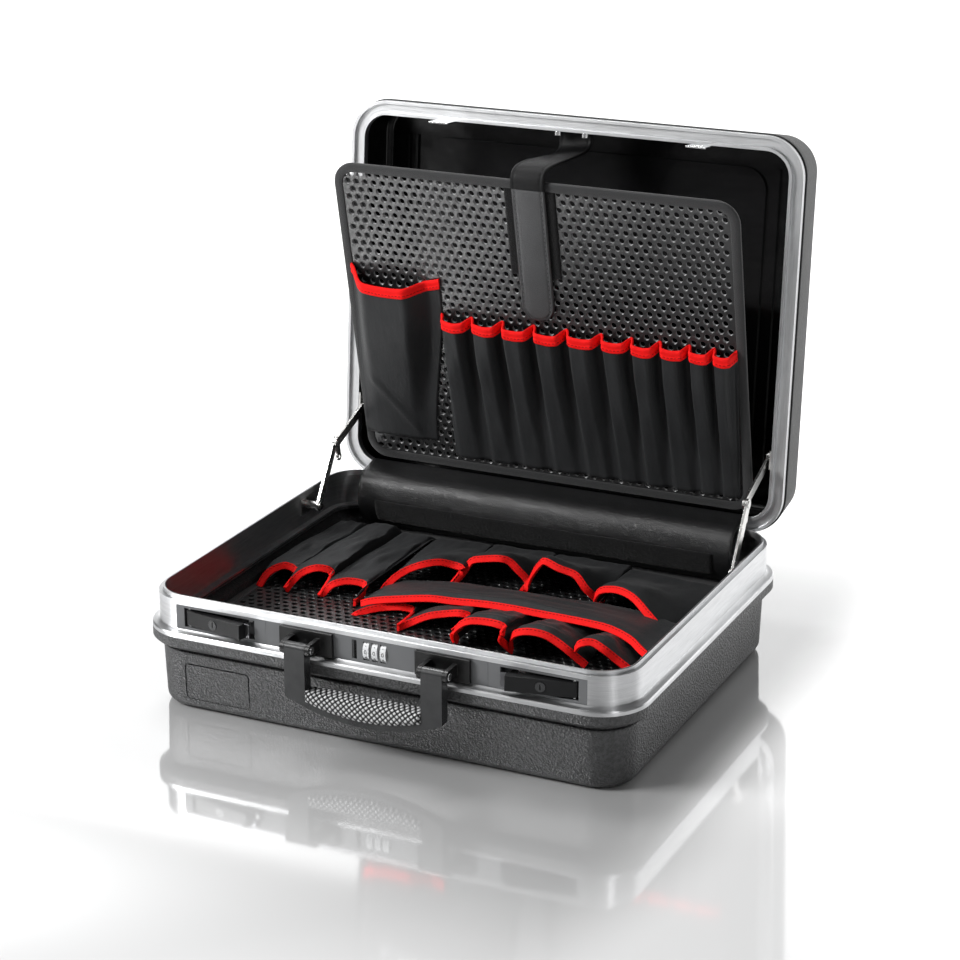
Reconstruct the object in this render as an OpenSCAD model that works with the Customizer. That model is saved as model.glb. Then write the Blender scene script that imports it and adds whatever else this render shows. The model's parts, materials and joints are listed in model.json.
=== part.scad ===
// Hard tool case with an aluminium frame, two lever latches, a number lock,
// a folding handle and two boards with tool pockets.
// The case stands on its base with the front towards -Y. Lid pieces are drawn
// as in the closed case and then swung open about the rear hinge.

/* [Case] */
// Width across the aluminium frame
case_w = 466; // [450:1:480]
// Depth across the aluminium frame, front to rear
case_d = 378; // [366:1:390]
// Radius of the case's upright corners, at the frame
corner_r = 38; // [34:1:42]
// Height of the base from the floor to the top of its rim
rim_z = 110; // [106:1:118]
// Depth of the lid, from its frame to its back
lid_depth = 64; // [60:1:72]
// Angle at which the stays hold the lid open
open_angle = 95; // [94:0.5:96]
// Wall of the moulded shells
shell_t = 3; // [2.4:0.1:3.6]

/* [Base shell] */
// How far the belt stands out past the frame
belt_out = 7; // [5:0.5:9]
// Height of the belt under the frame
belt_h = 8.5; // [7:0.5:10]
// Distance from the underside of the frame to the top edge of the body
body_drop = 18.5; // [17:0.5:21]
// Inset of the body from the frame, at its top edge
body_in = 2.5; // [1.5:0.5:4]
// Draft of the body walls
base_draft = 2; // [1:0.5:3]
// Radius of the bottom edge
bottom_r = 9; // [7:1:12]
// Length of the recessed panel on the front
panel_w = 66; // [50:1:80]
// Height of the recessed panel on the front
panel_h = 35; // [28:1:36]
// Distance from the middle of the case to the middle of that panel
panel_x = 161; // [150:1:170]

/* [Frames] */
// Height of the base frame, from its lip to the rim
frame_h = 37; // [36:0.5:39]
// Wall of the base frame
frame_t = 2.2; // [1.8:0.1:2.6]
// Width of the flange inside the base frame
flange_w = 9; // [7:0.5:10]
// Height of the tongue that closes into the lid frame
tongue_h = 3.4; // [3:0.1:3.8]
// Thickness of the tongue
tongue_t = 2; // [1.6:0.1:2.4]
// Width of the lid frame's face
face_w = 14; // [13:0.5:15]
// Width of the beads on both sides of that face
bead_w = 3; // [2.5:0.1:3.2]
// Depth of the groove between the beads
groove_h = 3.6; // [3.5:0.1:4]
// Space between the tongue and the outer bead
tongue_gap = 0.6; // [0.4:0.1:0.8]

/* [Lid shell] */
// Draft of the lid walls
lid_draft = 7.5; // [6:0.5:9]
// Radius of the lid's back edge
lid_edge_r = 12; // [9:1:14]
// Distance of the raised panel inside the lid from the sides
panel_in = 55; // [50:1:70]
// Distance of that panel from the lid's front and rear
panel_in_d = 39; // [36:1:50]
// Height of that panel and of the ribs beside it
lid_panel_t = 3; // [2:0.5:4]

/* [Rear hinge] */
// Length of the hinge
hinge_len = 342; // [300:2:360]
// Distance of the hinge axis behind the frame
hinge_out = 0.35; // [0.3:0.05:0.5]
// Distance of the hinge axis below the closing plane
hinge_drop = 4.9; // [4.8:0.1:5]
// Outer radius of the knuckles
knuckle_r = 3; // [2.8:0.1:3.2]
// Radius of the hinge pin
hinge_pin_r = 1.25; // [1:0.05:1.5]
// Number of knuckles
knuckles = 9; // [7:2:13]
// Thickness of the hinge leaves
leaf_t = 1.3; // [1:0.1:1.5]

/* [Stays] */
// Distance of the lower pivot in front of the rear wall
stay_base_in = 79.6; // [78:0.2:81]
// Distance of the lower pivot below the rim
stay_base_drop = 16.2; // [15:0.2:17]
// Distance of the upper pivot in front of the rear wall
stay_lid_in = 73.9; // [72:0.2:75]
// Distance of the upper pivot above the closing plane
stay_lid_up = 12; // [11.5:0.1:12.5]
// Length of the lower link between its pivots
link_lower = 66.2; // [65:0.2:68]
// Length of the upper link between its pivots
link_upper = 71.8; // [70:0.2:73]
// Width of the links
link_w = 9; // [8:0.5:10]
// Thickness of the links
link_t = 2.5; // [2:0.1:2.6]
// Radius of the pivot studs
stud_r = 2.5; // [2:0.1:2.8]

/* [Front plates] */
// Height of the row of plates in the front of the frame
plate_h = 22.8; // [21:0.2:23]
// Distance from the frame's side to the row of plates
row_in = 34.5; // [33:0.5:38]
// Distance from the middle to the joint between lock and handle plates
seam_in = 38.5; // [37:0.5:40]
// Length of the latch plates
latch_plate_w = 91; // [88:0.5:94]
// Depth of the latch housings behind the frame's front
housing_d = 12.5; // [12:0.1:12.8]

/* [Latches] */
// Distance from the latch plate's outer end to the lever's pivot
latch_in = 12.5; // [11.5:0.5:14]
// Height of the lever
lever_h = 14; // [12:0.5:15]
// Thickness of the lever
lever_t = 7; // [6.5:0.1:7.4]
// Angle at which the latches stand open
latch_open = 11; // [8:1:14]
// Radius of the key barrel
barrel_r = 4.5; // [4:0.1:5]
// Radius of the lever's pin
lever_pin_r = 1.5; // [1.2:0.1:1.8]

/* [Number lock] */
// Radius of the number dials
dial_r = 10.8; // [10:0.1:11]
// Thickness of the number dials
dial_t = 5.3; // [4.5:0.1:5.6]
// Distance between the dials
dial_pitch = 8.3; // [8:0.1:8.6]
// How far the dials stand out of the plate
dial_out = 2; // [1.5:0.1:2.5]
// Radius of the dial shaft
dial_shaft_r = 1.5; // [1.2:0.1:2]

/* [Handle] */
// Width of the arms
arm_w = 20; // [18:0.5:22]
// Thickness of the arms
arm_t = 11; // [10:0.5:12]
// Distance of the handle pivot in front of the frame
pivot_out = 19; // [18.5:0.5:21]
// Distance from the pivot to the lowest point of the grip
handle_drop = 60.5; // [58:0.5:64]
// Distance from the pivot to the top of the grip
grip_top = 36; // [34:0.5:38]
// Thickness of the grip
grip_t = 18; // [16:0.5:20]
// Radius of the handle pins
handle_pin_r = 2.5; // [2:0.1:3]
// Thickness of the bracket ears
ear_t = 4.2; // [3.5:0.1:5]

/* [Boards] */
// Height of the base board's top face above the floor
base_board_z = 54; // [52:1:56]
// Thickness of both boards
board_t = 3; // [2.5:0.1:3.5]
// Distance of the lid board's edges inside the frame's face
board_gap = 28; // [27:0.5:34]
// Corner radius of the boards
board_r = 22; // [16:1:28]
// Angle at which the lid board leans out of the lid
board_lean = 17; // [14:0.5:17.5]
// Distance of the lid board's lower edge in front of the rear wall
board_in = 21; // [19:0.5:22]
// Width of the bound edge of both boards
edge_w = 8.6; // [7:0.2:9]
// How far that edge stands out of the board's face
edge_h = 0.6; // [0.4:0.1:1]
// Number of openings across each board
holes_across = 12; // [6:1:12]
// Width of those openings
hole_w = 17; // [10:1:20]

/* [Pockets] */
// Number of narrow pockets on the lid board
lid_pockets = 10; // [8:1:11]
// Depth of those pockets, off the board
lid_pocket_h = 12; // [9:1:14]
// Depth of the large pocket on the lid board
lid_large_h = 20; // [14:1:21]
// Number of pockets in the base's front row
front_pockets = 5; // [4:1:6]
// Height of the pockets of the front row
front_h = 24; // [18:1:26]
// Number of pockets in the base's rear row
rear_pockets = 4; // [3:1:5]
// Height of the pockets of the rear row
rear_h = 30; // [24:1:31]
// Height of the wide pocket between the rows
wide_h = 21; // [15:1:24]
// Number of long sleeves on the left of the base board
sleeves = 3; // [2:1:4]
// Height of the long sleeves
sleeve_h = 17; // [13:1:19]
// Width of the strap
strap_w = 34; // [30:1:38]

/* [Hidden] */
$fn = 48;
clear = 0.05;          // radial running clearance of pins in their bores
small = 0.2;           // side clearance between pieces that turn past each other

base_top = rim_z - frame_h;                 // top of the moulded base, under the frame
lid_z = rim_z - tongue_h;                   // closing plane of the lid
front_y = -case_d / 2;
rear_y = case_d / 2;
hinge_y = rear_y + hinge_out;
hinge_z = lid_z - hinge_drop;

body_z = base_top - body_drop;              // top edge of the base's body
body_run = (body_z - bottom_r) * tan(base_draft);
body_low = body_in + body_run;              // inset of the body above the bottom edge
ledge_in = 16;                              // inset of the ledge's edge
ledge_z = base_board_z - board_t;
wall_in = body_in + 6.1;                    // inset of the inner wall at the belt

tongue_in = bead_w + tongue_gap;
lid_fall = 8.6;                             // where the lid's body starts, above the closing plane
lid_run = (lid_depth - lid_edge_r - lid_fall) * tan(lid_draft);
lid_lip = 1.2;                              // how far the lid's body stands out past its frame
lid_in = lid_run - lid_lip;                 // inset of the lid's body at its back edge
web_t = 2;                                  // web of the lid frame behind its groove

row_half = case_w / 2 - row_in;             // half length of the row of plates
scale_w = case_w / 466;                     // the front row follows the case's width
seam_out = row_half - latch_plate_w * scale_w;
arm_x = (seam_in + seam_out) / 2 - 7;       // distance from the middle to each handle arm
pad_half = (seam_out - seam_in) * 0.377;
row_z0 = base_top + 6.7;                    // lower edge of the row of plates
row_z = row_z0 + plate_h / 2;
recess = 0.3;                               // how far the plates lie behind the frame's face

leaf_h = 17;
knuckle_l = hinge_len / knuckles;

stay_base = [rear_y - stay_base_in, rim_z - stay_base_drop];
stay_lid_closed = [rear_y - stay_lid_in, lid_z + stay_lid_up];
function turn(v, a) = [v[0] * cos(a) - v[1] * sin(a), v[0] * sin(a) + v[1] * cos(a)];
hinge_yz = [hinge_y, hinge_z];
stay_lid = hinge_yz + turn(stay_lid_closed - hinge_yz, -open_angle);
// The knee lies where circles about the two pivots meet, on the front side.
stay_gap = norm(stay_lid - stay_base);
stay_dir = (stay_lid - stay_base) / stay_gap;
stay_a = (pow(stay_gap, 2) + pow(link_lower, 2) - pow(link_upper, 2)) / (2 * stay_gap);
stay_h = sqrt(pow(link_lower, 2) - pow(stay_a, 2));
stay_knee = stay_base + stay_a * stay_dir + stay_h * [-stay_dir[1], stay_dir[0]];
link_x = case_w / 2 - face_w - 3.5;         // outer face of the upper link
link_x2 = link_x + small + link_t;          // outer face of the lower link
stay_tab = 16;
rivet_t = 0.5;                              // height of the rivet heads at the knee

latch_x = row_half - latch_in;
lever_len = latch_x - seam_out - 18.5;
lever_pin_y = front_y + lever_t / 2;
barrel_x = latch_x - lever_len * 0.483;
hook_x = latch_x - lever_len + 6;           // middle of the hook and of its striker
hook_w = 6;
hook_z = row_z + 4.6;

dial_y = front_y + recess + dial_r - dial_out;
lock_w = 3 * dial_pitch + 6.1;              // inside width of the lock
pivot_y = front_y - pivot_out;
grip_z = row_z - handle_drop;
grip_half = arm_x + arm_w / 2;
grip_rise = 16.5;                           // how far the grip's lower edge curves up at the arms
grip_r = (pow(grip_half, 2) + pow(grip_rise, 2)) / (2 * grip_rise);
rim_bar = 5.7;                              // thickness of the handle's bar under the grip

board_y = rear_y - board_in;                // pivot line of the lid board, lid closed
board_z = lid_z + board_t / 2 + 0.5;
base_board_w = case_w - 2 * (wall_in + 1.4);
base_board_front = front_y + ledge_in - 2.5;
base_board_rear = rear_y - wall_in - 4;
base_board_d = base_board_rear - base_board_front;
lid_board_w = case_w - 2 * board_gap;
lid_board_l = case_d - 2 * board_gap;
lid_panel_w = case_w - 2 * panel_in;
lid_panel_d = case_d - 2 * panel_in_d;
flap_half = case_w / 2 - 34;
sleeve_x = 10 - base_board_w / 2;           // left end of the sleeves
sleeve_w = base_board_w * 0.235;            // width of all sleeves together
row_x = sleeve_x + sleeve_w + 10;           // left end of the pocket rows on the base board
row_end = 33;                               // from the rows' right end to the board's edge
row_w = base_board_w / 2 - row_end - row_x;
lid_large_w = lid_board_w * 0.21;
lid_row_x = lid_large_w + 15 - lid_board_w / 2;  // left end of the narrow pockets
lid_row_ends = 24.4;                        // space beside and between the pockets on the lid board
lid_row_w = lid_board_w - lid_large_w - lid_row_ends;
// A place on the base board, as a share of its depth from the front.
function board_at(share) = base_board_front + share * base_board_d;

// ---- shapes that repeat ----

module rounded(w, d, r) {
  square([w - 2 * r, d], center = true);
  square([w, d - 2 * r], center = true);
  for (sx = [-1, 1], sy = [-1, 1])
    translate([sx * (w / 2 - r), sy * (d / 2 - r)]) circle(r);
}

// A flat plate that follows the case's outline, set in by inset.
module case_plate(inset, h) {
  linear_extrude(h) rounded(case_w - 2 * inset, case_d - 2 * inset, corner_r - inset);
}

// Carries a profile round the case. The profile's x counts outwards from the
// frame's face and its y counts upwards.
module round_case() {
  for (k = [0:3]) {
    run = (k % 2 == 0 ? case_d : case_w) - 2 * corner_r;
    half = (k % 2 == 0 ? case_w : case_d) / 2;
    rotate(90 * k) {
      translate([half, 0, 0]) rotate([90, 0, 0]) linear_extrude(run, center = true) children();
      translate([half - corner_r, run / 2, 0])
        rotate_extrude(angle = 90) translate([corner_r, 0]) children();
    }
  }
}

// A box given by its lowest and highest corners.
module span(a, b) {
  translate(a) cube(b - a);
}

// A cylinder along X from x0 to x1.
module rod_x(x0, x1, r, y, z) {
  translate([x0, y, z]) rotate([0, 90, 0]) cylinder(h = x1 - x0, r = r);
}

// A cylinder along Y from y0 to y1.
module rod_y(y0, y1, r, x, z) {
  translate([x, y1, z]) rotate([90, 0, 0]) cylinder(h = y1 - y0, r = r);
}

// The flat-bottomed part of a circle, w wide and h high.
module arch(w, h) {
  r = (w * w / 4 + h * h) / (2 * h);
  intersection() {
    translate([0, h - r]) circle(r, $fn = 64);
    translate([-w / 2, 0]) square([w, h]);
  }
}

// A pocket of arched section, from y0 to y1, standing on z.
module tube_pocket(x, w, h, y0, y1, z) {
  translate([x, y1, z]) rotate([90, 0, 0]) linear_extrude(y1 - y0) arch(w, h);
}

// Swings closed-lid coordinates to the open lid.
module lid_open() {
  translate([0, hinge_y, hinge_z]) rotate([-open_angle, 0, 0])
    translate([0, -hinge_y, -hinge_z]) children();
}

// Lid board coordinates: x across, y up the board from its pivot, z out of its front.
module on_lid_board() {
  lid_open() translate([0, board_y, board_z]) rotate([board_lean + 180, 0, 0]) children();
}

function arc(c, r, a0, a1, n) =
  [for (i = [0:n]) c + r * [cos(a0 + (a1 - a0) * i / n), sin(a0 + (a1 - a0) * i / n)]];

// ---- base ----

module base_wall() {
  polygon(concat(
    [[belt_out, base_top], [belt_out, base_top - belt_h],
     [belt_out - 2.5, base_top - belt_h - 2.5],
     [-body_in - 2.7, body_z + 3.5], [-body_in - 2.7, body_z + 2],
     [-body_in - 1.4, body_z + 1.6], [-body_in - 0.5, body_z + 1.2], [-body_in, body_z + 0.2],
     [-body_in, body_z]],
    arc([-body_low - bottom_r, bottom_r], bottom_r, 0, -90, 5),
    [[-body_low - bottom_r, shell_t]],
    arc([-body_low - bottom_r, bottom_r], bottom_r - shell_t, -90, 0, 5),
    [[-body_low - shell_t, ledge_z - shell_t - 6], [-ledge_in, ledge_z - shell_t],
     [-ledge_in, ledge_z], [-wall_in, ledge_z], [-wall_in, base_top - belt_h - 5],
     [belt_out - shell_t - 0.5, base_top - belt_h + 1],
     [belt_out - shell_t - 0.5, base_top - shell_t],
     [-wall_in, base_top - shell_t], [-wall_in, base_top]]));
}

module base_shell() {
  floor_in = body_low + bottom_r;
  panel_y = front_y + body_in + body_run * 0.7;
  color("#2b2d2f") difference() {
    union() {
      round_case() base_wall();
      case_plate(floor_in - 0.5, shell_t);
    }
    translate([-panel_x, panel_y + 1, body_z / 2 + 1]) rotate([90, 0, 0])
      linear_extrude(4) difference() {
        rounded(panel_w, panel_h, 4);
        rounded(panel_w - 2.4, panel_h - 2.4, 3);
      }
  }
}

module frame_profile() {
  shoulder = rim_z - tongue_h;
  polygon([
    [belt_out, base_top], [belt_out, base_top + 3.4], [belt_out - 0.9, base_top + 4.6],
    [belt_out * 0.46, base_top + 5], [belt_out * 0.17, base_top + 5.7], [0, base_top + 6.7],
    [0, shoulder], [-tongue_in, shoulder], [-tongue_in, rim_z],
    [-tongue_in - tongue_t, rim_z], [-tongue_in - tongue_t, shoulder - 2.4],
    [-frame_t, shoulder - 3.6], [-frame_t, base_top + 2],
    [-flange_w, base_top + 2], [-flange_w, base_top]]);
}

module base_frame() {
  notch_z = hinge_z - knuckle_r - 0.5;
  color("#d4d6d8") difference() {
    round_case() frame_profile();
    span([-row_half, front_y - 1, row_z0], [row_half, front_y + frame_t + 0.3, row_z0 + plate_h]);
    span([-hinge_len / 2 - 1, rear_y - 6.5, notch_z], [hinge_len / 2 + 1, rear_y + 1, rim_z + 1]);
  }
}

// A front plate from x0 to x1 with its box behind the frame, which ends short of x1.
module front_plate(x0, x1, depth, short = 0) {
  span([x0, front_y + recess, row_z0], [x1, front_y + frame_t, row_z0 + plate_h]);
  span([x0, front_y + frame_t, row_z0 - 1.5], [x1 - short, front_y + depth, row_z0 + plate_h - 0.7]);
}

// The right latch housing; the left one is its mirror image.
module latch_housing() {
  pin_half = plate_h / 2 - 1;
  difference() {
    front_plate(seam_out, row_half, housing_d, 4);
    span([hook_x - 13, front_y - 1, row_z - lever_h / 2 - 2],
      [latch_x + lever_t / 2 + 1, front_y + lever_t + 2, row_z + lever_h / 2 + 2]);
    span([hook_x - 6, front_y, hook_z - 1.6], [hook_x + 6, front_y + housing_d + 1, hook_z + 3.4]);
    translate([latch_x, lever_pin_y, row_z - pin_half]) cylinder(h = 2 * pin_half, r = lever_pin_r);
  }
}

module left_latch_housing() {
  color("#4b4d50") mirror([1, 0, 0]) latch_housing();
}

module right_latch_housing() {
  color("#4b4d50") latch_housing();
}

module latch_pins() {
  pin_half = plate_h / 2 - 1;
  color("#c9ccd0") for (s = [-1, 1])
    translate([s * latch_x, lever_pin_y, row_z - pin_half]) cylinder(h = 2 * pin_half, r = lever_pin_r);
}

// The right handle bracket: plate, pad and two ears with the pin's bore.
module handle_bracket() {
  pad_y = front_y - 3.5;
  difference() {
    union() {
      front_plate(seam_in, seam_out, 9);
      span([arm_x - pad_half, pad_y, row_z0 + 0.6],
        [arm_x + pad_half, front_y + recess, row_z0 + plate_h - 0.6]);
      for (s = [-1, 1]) {
        x0 = arm_x + s * (arm_w / 2 + small + ear_t / 2) - ear_t / 2;
        span([x0, pivot_y, row_z - 5.5], [x0 + ear_t, pad_y, row_z + 5.5]);
        rod_x(x0, x0 + ear_t, 5.5, pivot_y, row_z);
      }
    }
    rod_x(arm_x - arm_w, arm_x + arm_w, handle_pin_r, pivot_y, row_z);
  }
}

module left_handle_bracket() {
  color("#4b4d50") mirror([1, 0, 0]) handle_bracket();
}

module right_handle_bracket() {
  color("#4b4d50") handle_bracket();
}

module handle_pins() {
  half = arm_w / 2 + small + ear_t;
  color("#dadcdf") for (s = [-1, 1]) {
    rod_x(s * arm_x - half, s * arm_x + half, handle_pin_r, pivot_y, row_z);
    for (e = [-1, 1])
      rod_x(s * arm_x + e * (half + 0.5) - 0.5, s * arm_x + e * (half + 0.5) + 0.5,
        handle_pin_r + 1, pivot_y, row_z);
  }
}

module lock_plate() {
  inner_y = front_y + frame_t;
  depth = dial_y + dial_r + 2.5 - front_y;
  color("#4b4d50") difference() {
    front_plate(-seam_in, seam_in, depth);
    intersection() {
      rod_x(-lock_w / 2, lock_w / 2, dial_r + 0.5, dial_y, row_z);
      span([-lock_w, inner_y, 0], [lock_w, 0, rim_z]);
    }
    for (i = [-1:1])
      span([i * dial_pitch - dial_t / 2 - 0.3, front_y - 1, row_z - 8.7],
        [i * dial_pitch + dial_t / 2 + 0.3, inner_y + 0.1, row_z + 8.7]);
    rod_x(-lock_w / 2 - 3, lock_w / 2 + 3, dial_shaft_r, dial_y, row_z);
    span([-22.2, front_y - 1, row_z - 8.7], [-17.6, inner_y + 0.1, row_z + 8.7]);
    span([-27, inner_y, row_z - 10.2], [-lock_w / 2 - 1.2, inner_y + 5, row_z + 10.2]);
  }
}

module dial_shaft() {
  color("#c9ccd0") rod_x(-lock_w / 2 - 3, lock_w / 2 + 3, dial_shaft_r, dial_y, row_z);
}

module dial(i) {
  x = i * dial_pitch;
  notch_n = 20;
  color("#c4c6c8") difference() {
    rod_x(x - dial_t / 2, x + dial_t / 2, dial_r, dial_y, row_z);
    rod_x(x - dial_t, x + dial_t, dial_shaft_r + clear, dial_y, row_z);
    for (k = [0:notch_n - 1]) translate([x, dial_y, row_z]) rotate([360 / notch_n * (k + 0.5), 0, 0])
      translate([-dial_t, 0, dial_r + 0.25]) rotate([0, 90, 0]) cylinder(h = 2 * dial_t, r = 0.6, $fn = 16);
  }
}

module dial_1() { dial(-1); }
module dial_2() { dial(0); }
module dial_3() { dial(1); }

module lock_slider() {
  inner_y = front_y + frame_t;
  color("#141516") {
    span([-22, front_y, row_z - 8.2], [-19.8, inner_y + 0.2, row_z + 8.2]);
    span([-26.5, inner_y + 0.2, row_z - 9.8], [-19, inner_y + 2.2, row_z + 9.8]);
  }
}

module base_hinge_leaf() {
  top = hinge_z - 2.2;
  color("#b9bcc0") {
    span([-hinge_len / 2, rear_y, top - leaf_h], [hinge_len / 2, rear_y + leaf_t, top - 1.5]);
    difference() {
      for (k = [0:2:knuckles - 1]) {
        x0 = -hinge_len / 2 + k * knuckle_l + small;
        x1 = x0 + knuckle_l - 2 * small;
        rod_x(x0, x1, knuckle_r, hinge_y, hinge_z);
        span([x0, rear_y, top - 2], [x1, rear_y + leaf_t, top]);
      }
      rod_x(-hinge_len, hinge_len, hinge_pin_r, hinge_y, hinge_z);
    }
  }
}

module lid_hinge_leaf() {
  low = hinge_z + 2;
  color("#b9bcc0") lid_open() difference() {
    union() {
      span([-hinge_len / 2, rear_y, low + 1.5], [hinge_len / 2, rear_y + leaf_t, lid_z + 5.3]);
      for (k = [1:2:knuckles - 2]) {
        x0 = -hinge_len / 2 + k * knuckle_l + small;
        x1 = x0 + knuckle_l - 2 * small;
        rod_x(x0, x1, knuckle_r, hinge_y, hinge_z);
        span([x0, rear_y, low], [x1, rear_y + leaf_t, low + 2]);
      }
    }
    rod_x(-hinge_len, hinge_len, hinge_pin_r + clear, hinge_y, hinge_z);
  }
}

module hinge_pin() {
  color("#c9ccd0") rod_x(-hinge_len / 2, hinge_len / 2, hinge_pin_r, hinge_y, hinge_z);
}

module hinge_rivets() {
  z = hinge_z - leaf_h / 2 - 4;
  n = 7;
  color("#c9ccd0") for (i = [0:n - 1])
    translate([(i / (n - 1) - 0.5) * (hinge_len - 24), rear_y + leaf_t, z]) rotate([-90, 0, 0])
      cylinder(h = 1.2, r1 = 2.6, r2 = 1.8, $fn = 24);
}

// ---- stays ----

module stay_foot(s) {
  wall_x = case_w / 2 - frame_t;
  y = stay_base[0];
  z = stay_base[1];
  color("#cfd2d6") mirror([s < 0 ? 1 : 0, 0, 0]) {
    span([wall_x - 1.6, y - 14, z - 9], [wall_x, y + 14, z + 8]);
    rod_x(link_x2 + small, wall_x - 1.6, stud_r + 1.5, y, z);
    rod_x(link_x2 - link_t - small, link_x2 + small, stud_r, y, z);
    rod_x(link_x2 - link_t - small - 1.4, link_x2 - link_t - small, stud_r + 1.7, y, z);
  }
}

module left_stay_foot() { stay_foot(-1); }
module right_stay_foot() { stay_foot(1); }

module stay_head(s) {
  wall_x = case_w / 2 - face_w;
  y = stay_lid_closed[0];
  z = stay_lid_closed[1];
  color("#cfd2d6") lid_open() mirror([s < 0 ? 1 : 0, 0, 0]) {
    span([wall_x - 1.6, y - 9, lid_z + 0.6], [wall_x, y + 9, z + 4.5]);
    rod_x(link_x + small, wall_x - 1.6, stud_r + 1.5, y, z);
    rod_x(link_x - link_t - small, link_x + small, stud_r, y, z);
    rod_x(link_x - link_t - small - 1.4, link_x - link_t - small, stud_r + 1.7, y, z);
  }
}

module left_stay_head() { stay_head(-1); }
module right_stay_head() { stay_head(1); }

// A straight bar in the y-z plane, from point a to point b, with a disc at both ends.
module bar(a, b, w) {
  translate(a) rotate(atan2(b[1] - a[1], b[0] - a[0]))
    translate([0, -w / 2]) square([norm(b - a), w]);
  translate(a) circle(link_w / 2 + 1);
  translate(b) circle(w / 2 + 1);
}

// Stands a drawing of the y-z plane up as a plate from x0 to x1.
module plate_x(x0, x1) {
  translate([x0, 0, 0]) rotate([90, 0, 90]) linear_extrude(x1 - x0) children();
}

module lower_link(s) {
  color("#cfd2d6") mirror([s < 0 ? 1 : 0, 0, 0]) difference() {
    union() {
      plate_x(link_x2 - link_t, link_x2) bar(stay_base, stay_knee, link_w);
      rod_x(link_x2 - 1, link_x2 + rivet_t, 3.6, stay_knee[0], stay_knee[1]);
    }
    rod_x(link_x2 - 2 * link_t, link_x2 + link_t, stud_r + clear, stay_base[0], stay_base[1]);
  }
}

module left_lower_link() { lower_link(-1); }
module right_lower_link() { lower_link(1); }

module upper_link(s) {
  tab = stay_knee + stay_tab * [sin(8), -cos(8)];
  color("#cfd2d6") mirror([s < 0 ? 1 : 0, 0, 0]) difference() {
    union() {
      plate_x(link_x - link_t, link_x) {
        bar(stay_knee, stay_lid, link_w);
        bar(stay_knee, tab, link_w - 3);
      }
      rod_x(link_x - link_t - rivet_t, link_x - 1, 3.6, stay_knee[0], stay_knee[1]);
    }
    rod_x(link_x - 2 * link_t, link_x + link_t, stud_r + clear, stay_lid[0], stay_lid[1]);
    rod_x(link_x - 2 * link_t, link_x + link_t, 1.6, tab[0], tab[1]);
  }
}

module left_upper_link() { upper_link(-1); }
module right_upper_link() { upper_link(1); }

// ---- rear flap ----

module rear_flap() {
  color("#1d1e20") translate([-flap_half, 0, 0]) rotate([90, 0, 90]) linear_extrude(2 * flap_half)
    polygon([[hinge_y + 4, hinge_z + 19], [rear_y - 10, rim_z + 6], [rear_y - 21, rim_z + 4],
      [rear_y - 29.5, rim_z - 2], [rear_y - 32, rim_z - 12], [rear_y - 32.4, rim_z - 23],
      [rear_y - 29, rim_z - 35], [rear_y - 24.5, rim_z - 41], [rear_y - 14, base_board_z + 3],
      [rear_y - 9.4, base_board_z + 1.5], [rear_y - 9.4, rim_z - 8], [rear_y - 6.4, rim_z + 0.6],
      [hinge_y + 2.5, hinge_z + 15]]);
}

module flap_strip() {
  half = flap_half - 19;
  t = 2;
  color("#0d0d0e") translate([-half, 0, 0]) rotate([90, 0, 90]) linear_extrude(2 * half)
    polygon([[rear_y - 32.3 - t, rim_z - 19], [rear_y - 32 - 2.8 / 11, rim_z - 19], [rear_y - 32.4, rim_z - 23],
      [rear_y - 29, rim_z - 35], [rear_y - 24.5, rim_z - 41], [rear_y - 24.5 - t, rim_z - 42],
      [rear_y - 29 - t, rim_z - 36], [rear_y - 32.4 - t, rim_z - 23]]);
}

// ---- lid ----

module lid_wall() {
  back = lid_depth;
  edge_c = [-lid_in - lid_edge_r, back - lid_edge_r];
  polygon(concat(
    [[-2.6, groove_h + web_t], [-2.6, lid_fall - 2], [lid_lip - 0.6, lid_fall - 1.4],
     [lid_lip, lid_fall - 0.8], [lid_lip, lid_fall]],
    arc(edge_c, lid_edge_r, 0, 90, 6),
    arc(edge_c, lid_edge_r - shell_t, 90, 0, 6),
    [[lid_lip - shell_t - 1, lid_fall + 2], [-face_w + 2, lid_fall - 0.6],
     [-face_w + 2, groove_h + web_t]]));
}

module lid_shell() {
  back_in = lid_in + lid_edge_r;
  rib_h = lid_panel_t + 0.5;
  color("#232527") lid_open() translate([0, 0, lid_z]) {
    round_case() lid_wall();
    translate([0, 0, lid_depth - shell_t]) case_plate(back_in - 0.5, shell_t);
    translate([0, 0, lid_depth - shell_t - lid_panel_t])
      linear_extrude(rib_h) rounded(lid_panel_w, lid_panel_d, 22);
    for (s = [-1, 1], i = [0, 1])
      translate([s * (lid_panel_w / 2 + 12 + 9 * i) - 1.2, -lid_panel_d / 2, lid_depth - shell_t - lid_panel_t])
        cube([2.4, lid_panel_d, rib_h]);
  }
}

module lid_frame() {
  wall = face_w - 12.2;
  color("#d9dbdd") lid_open() translate([0, 0, lid_z]) round_case() polygon([
    [0, 0], [0, groove_h + web_t], [-face_w + wall, groove_h + web_t], [-face_w + wall, 8],
    [-face_w, 8], [-face_w, 0], [-face_w + bead_w, 0], [-face_w + bead_w, groove_h],
    [-bead_w, groove_h], [-bead_w, 0]]);
}

module lid_strikers() {
  y = front_y + face_w;
  color("#e0e2e4") lid_open() for (s = [-1, 1]) difference() {
    span([s * hook_x - 10, y, hook_z - 4.4], [s * hook_x + 10, y + 1.5, lid_z + 7]);
    span([s * hook_x - 5, y - 1, hook_z - 1], [s * hook_x + 5, y + 3, hook_z + 3]);
  }
}

module strap_rivets() {
  y = front_y + face_w;
  color("#e0e2e4") lid_open() for (x = [-14, 14])
    translate([x, y, lid_z + 3.5]) rotate([-90, 0, 0]) cylinder(h = 4.2, r = 3.4);
}

// ---- latches ----

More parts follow.
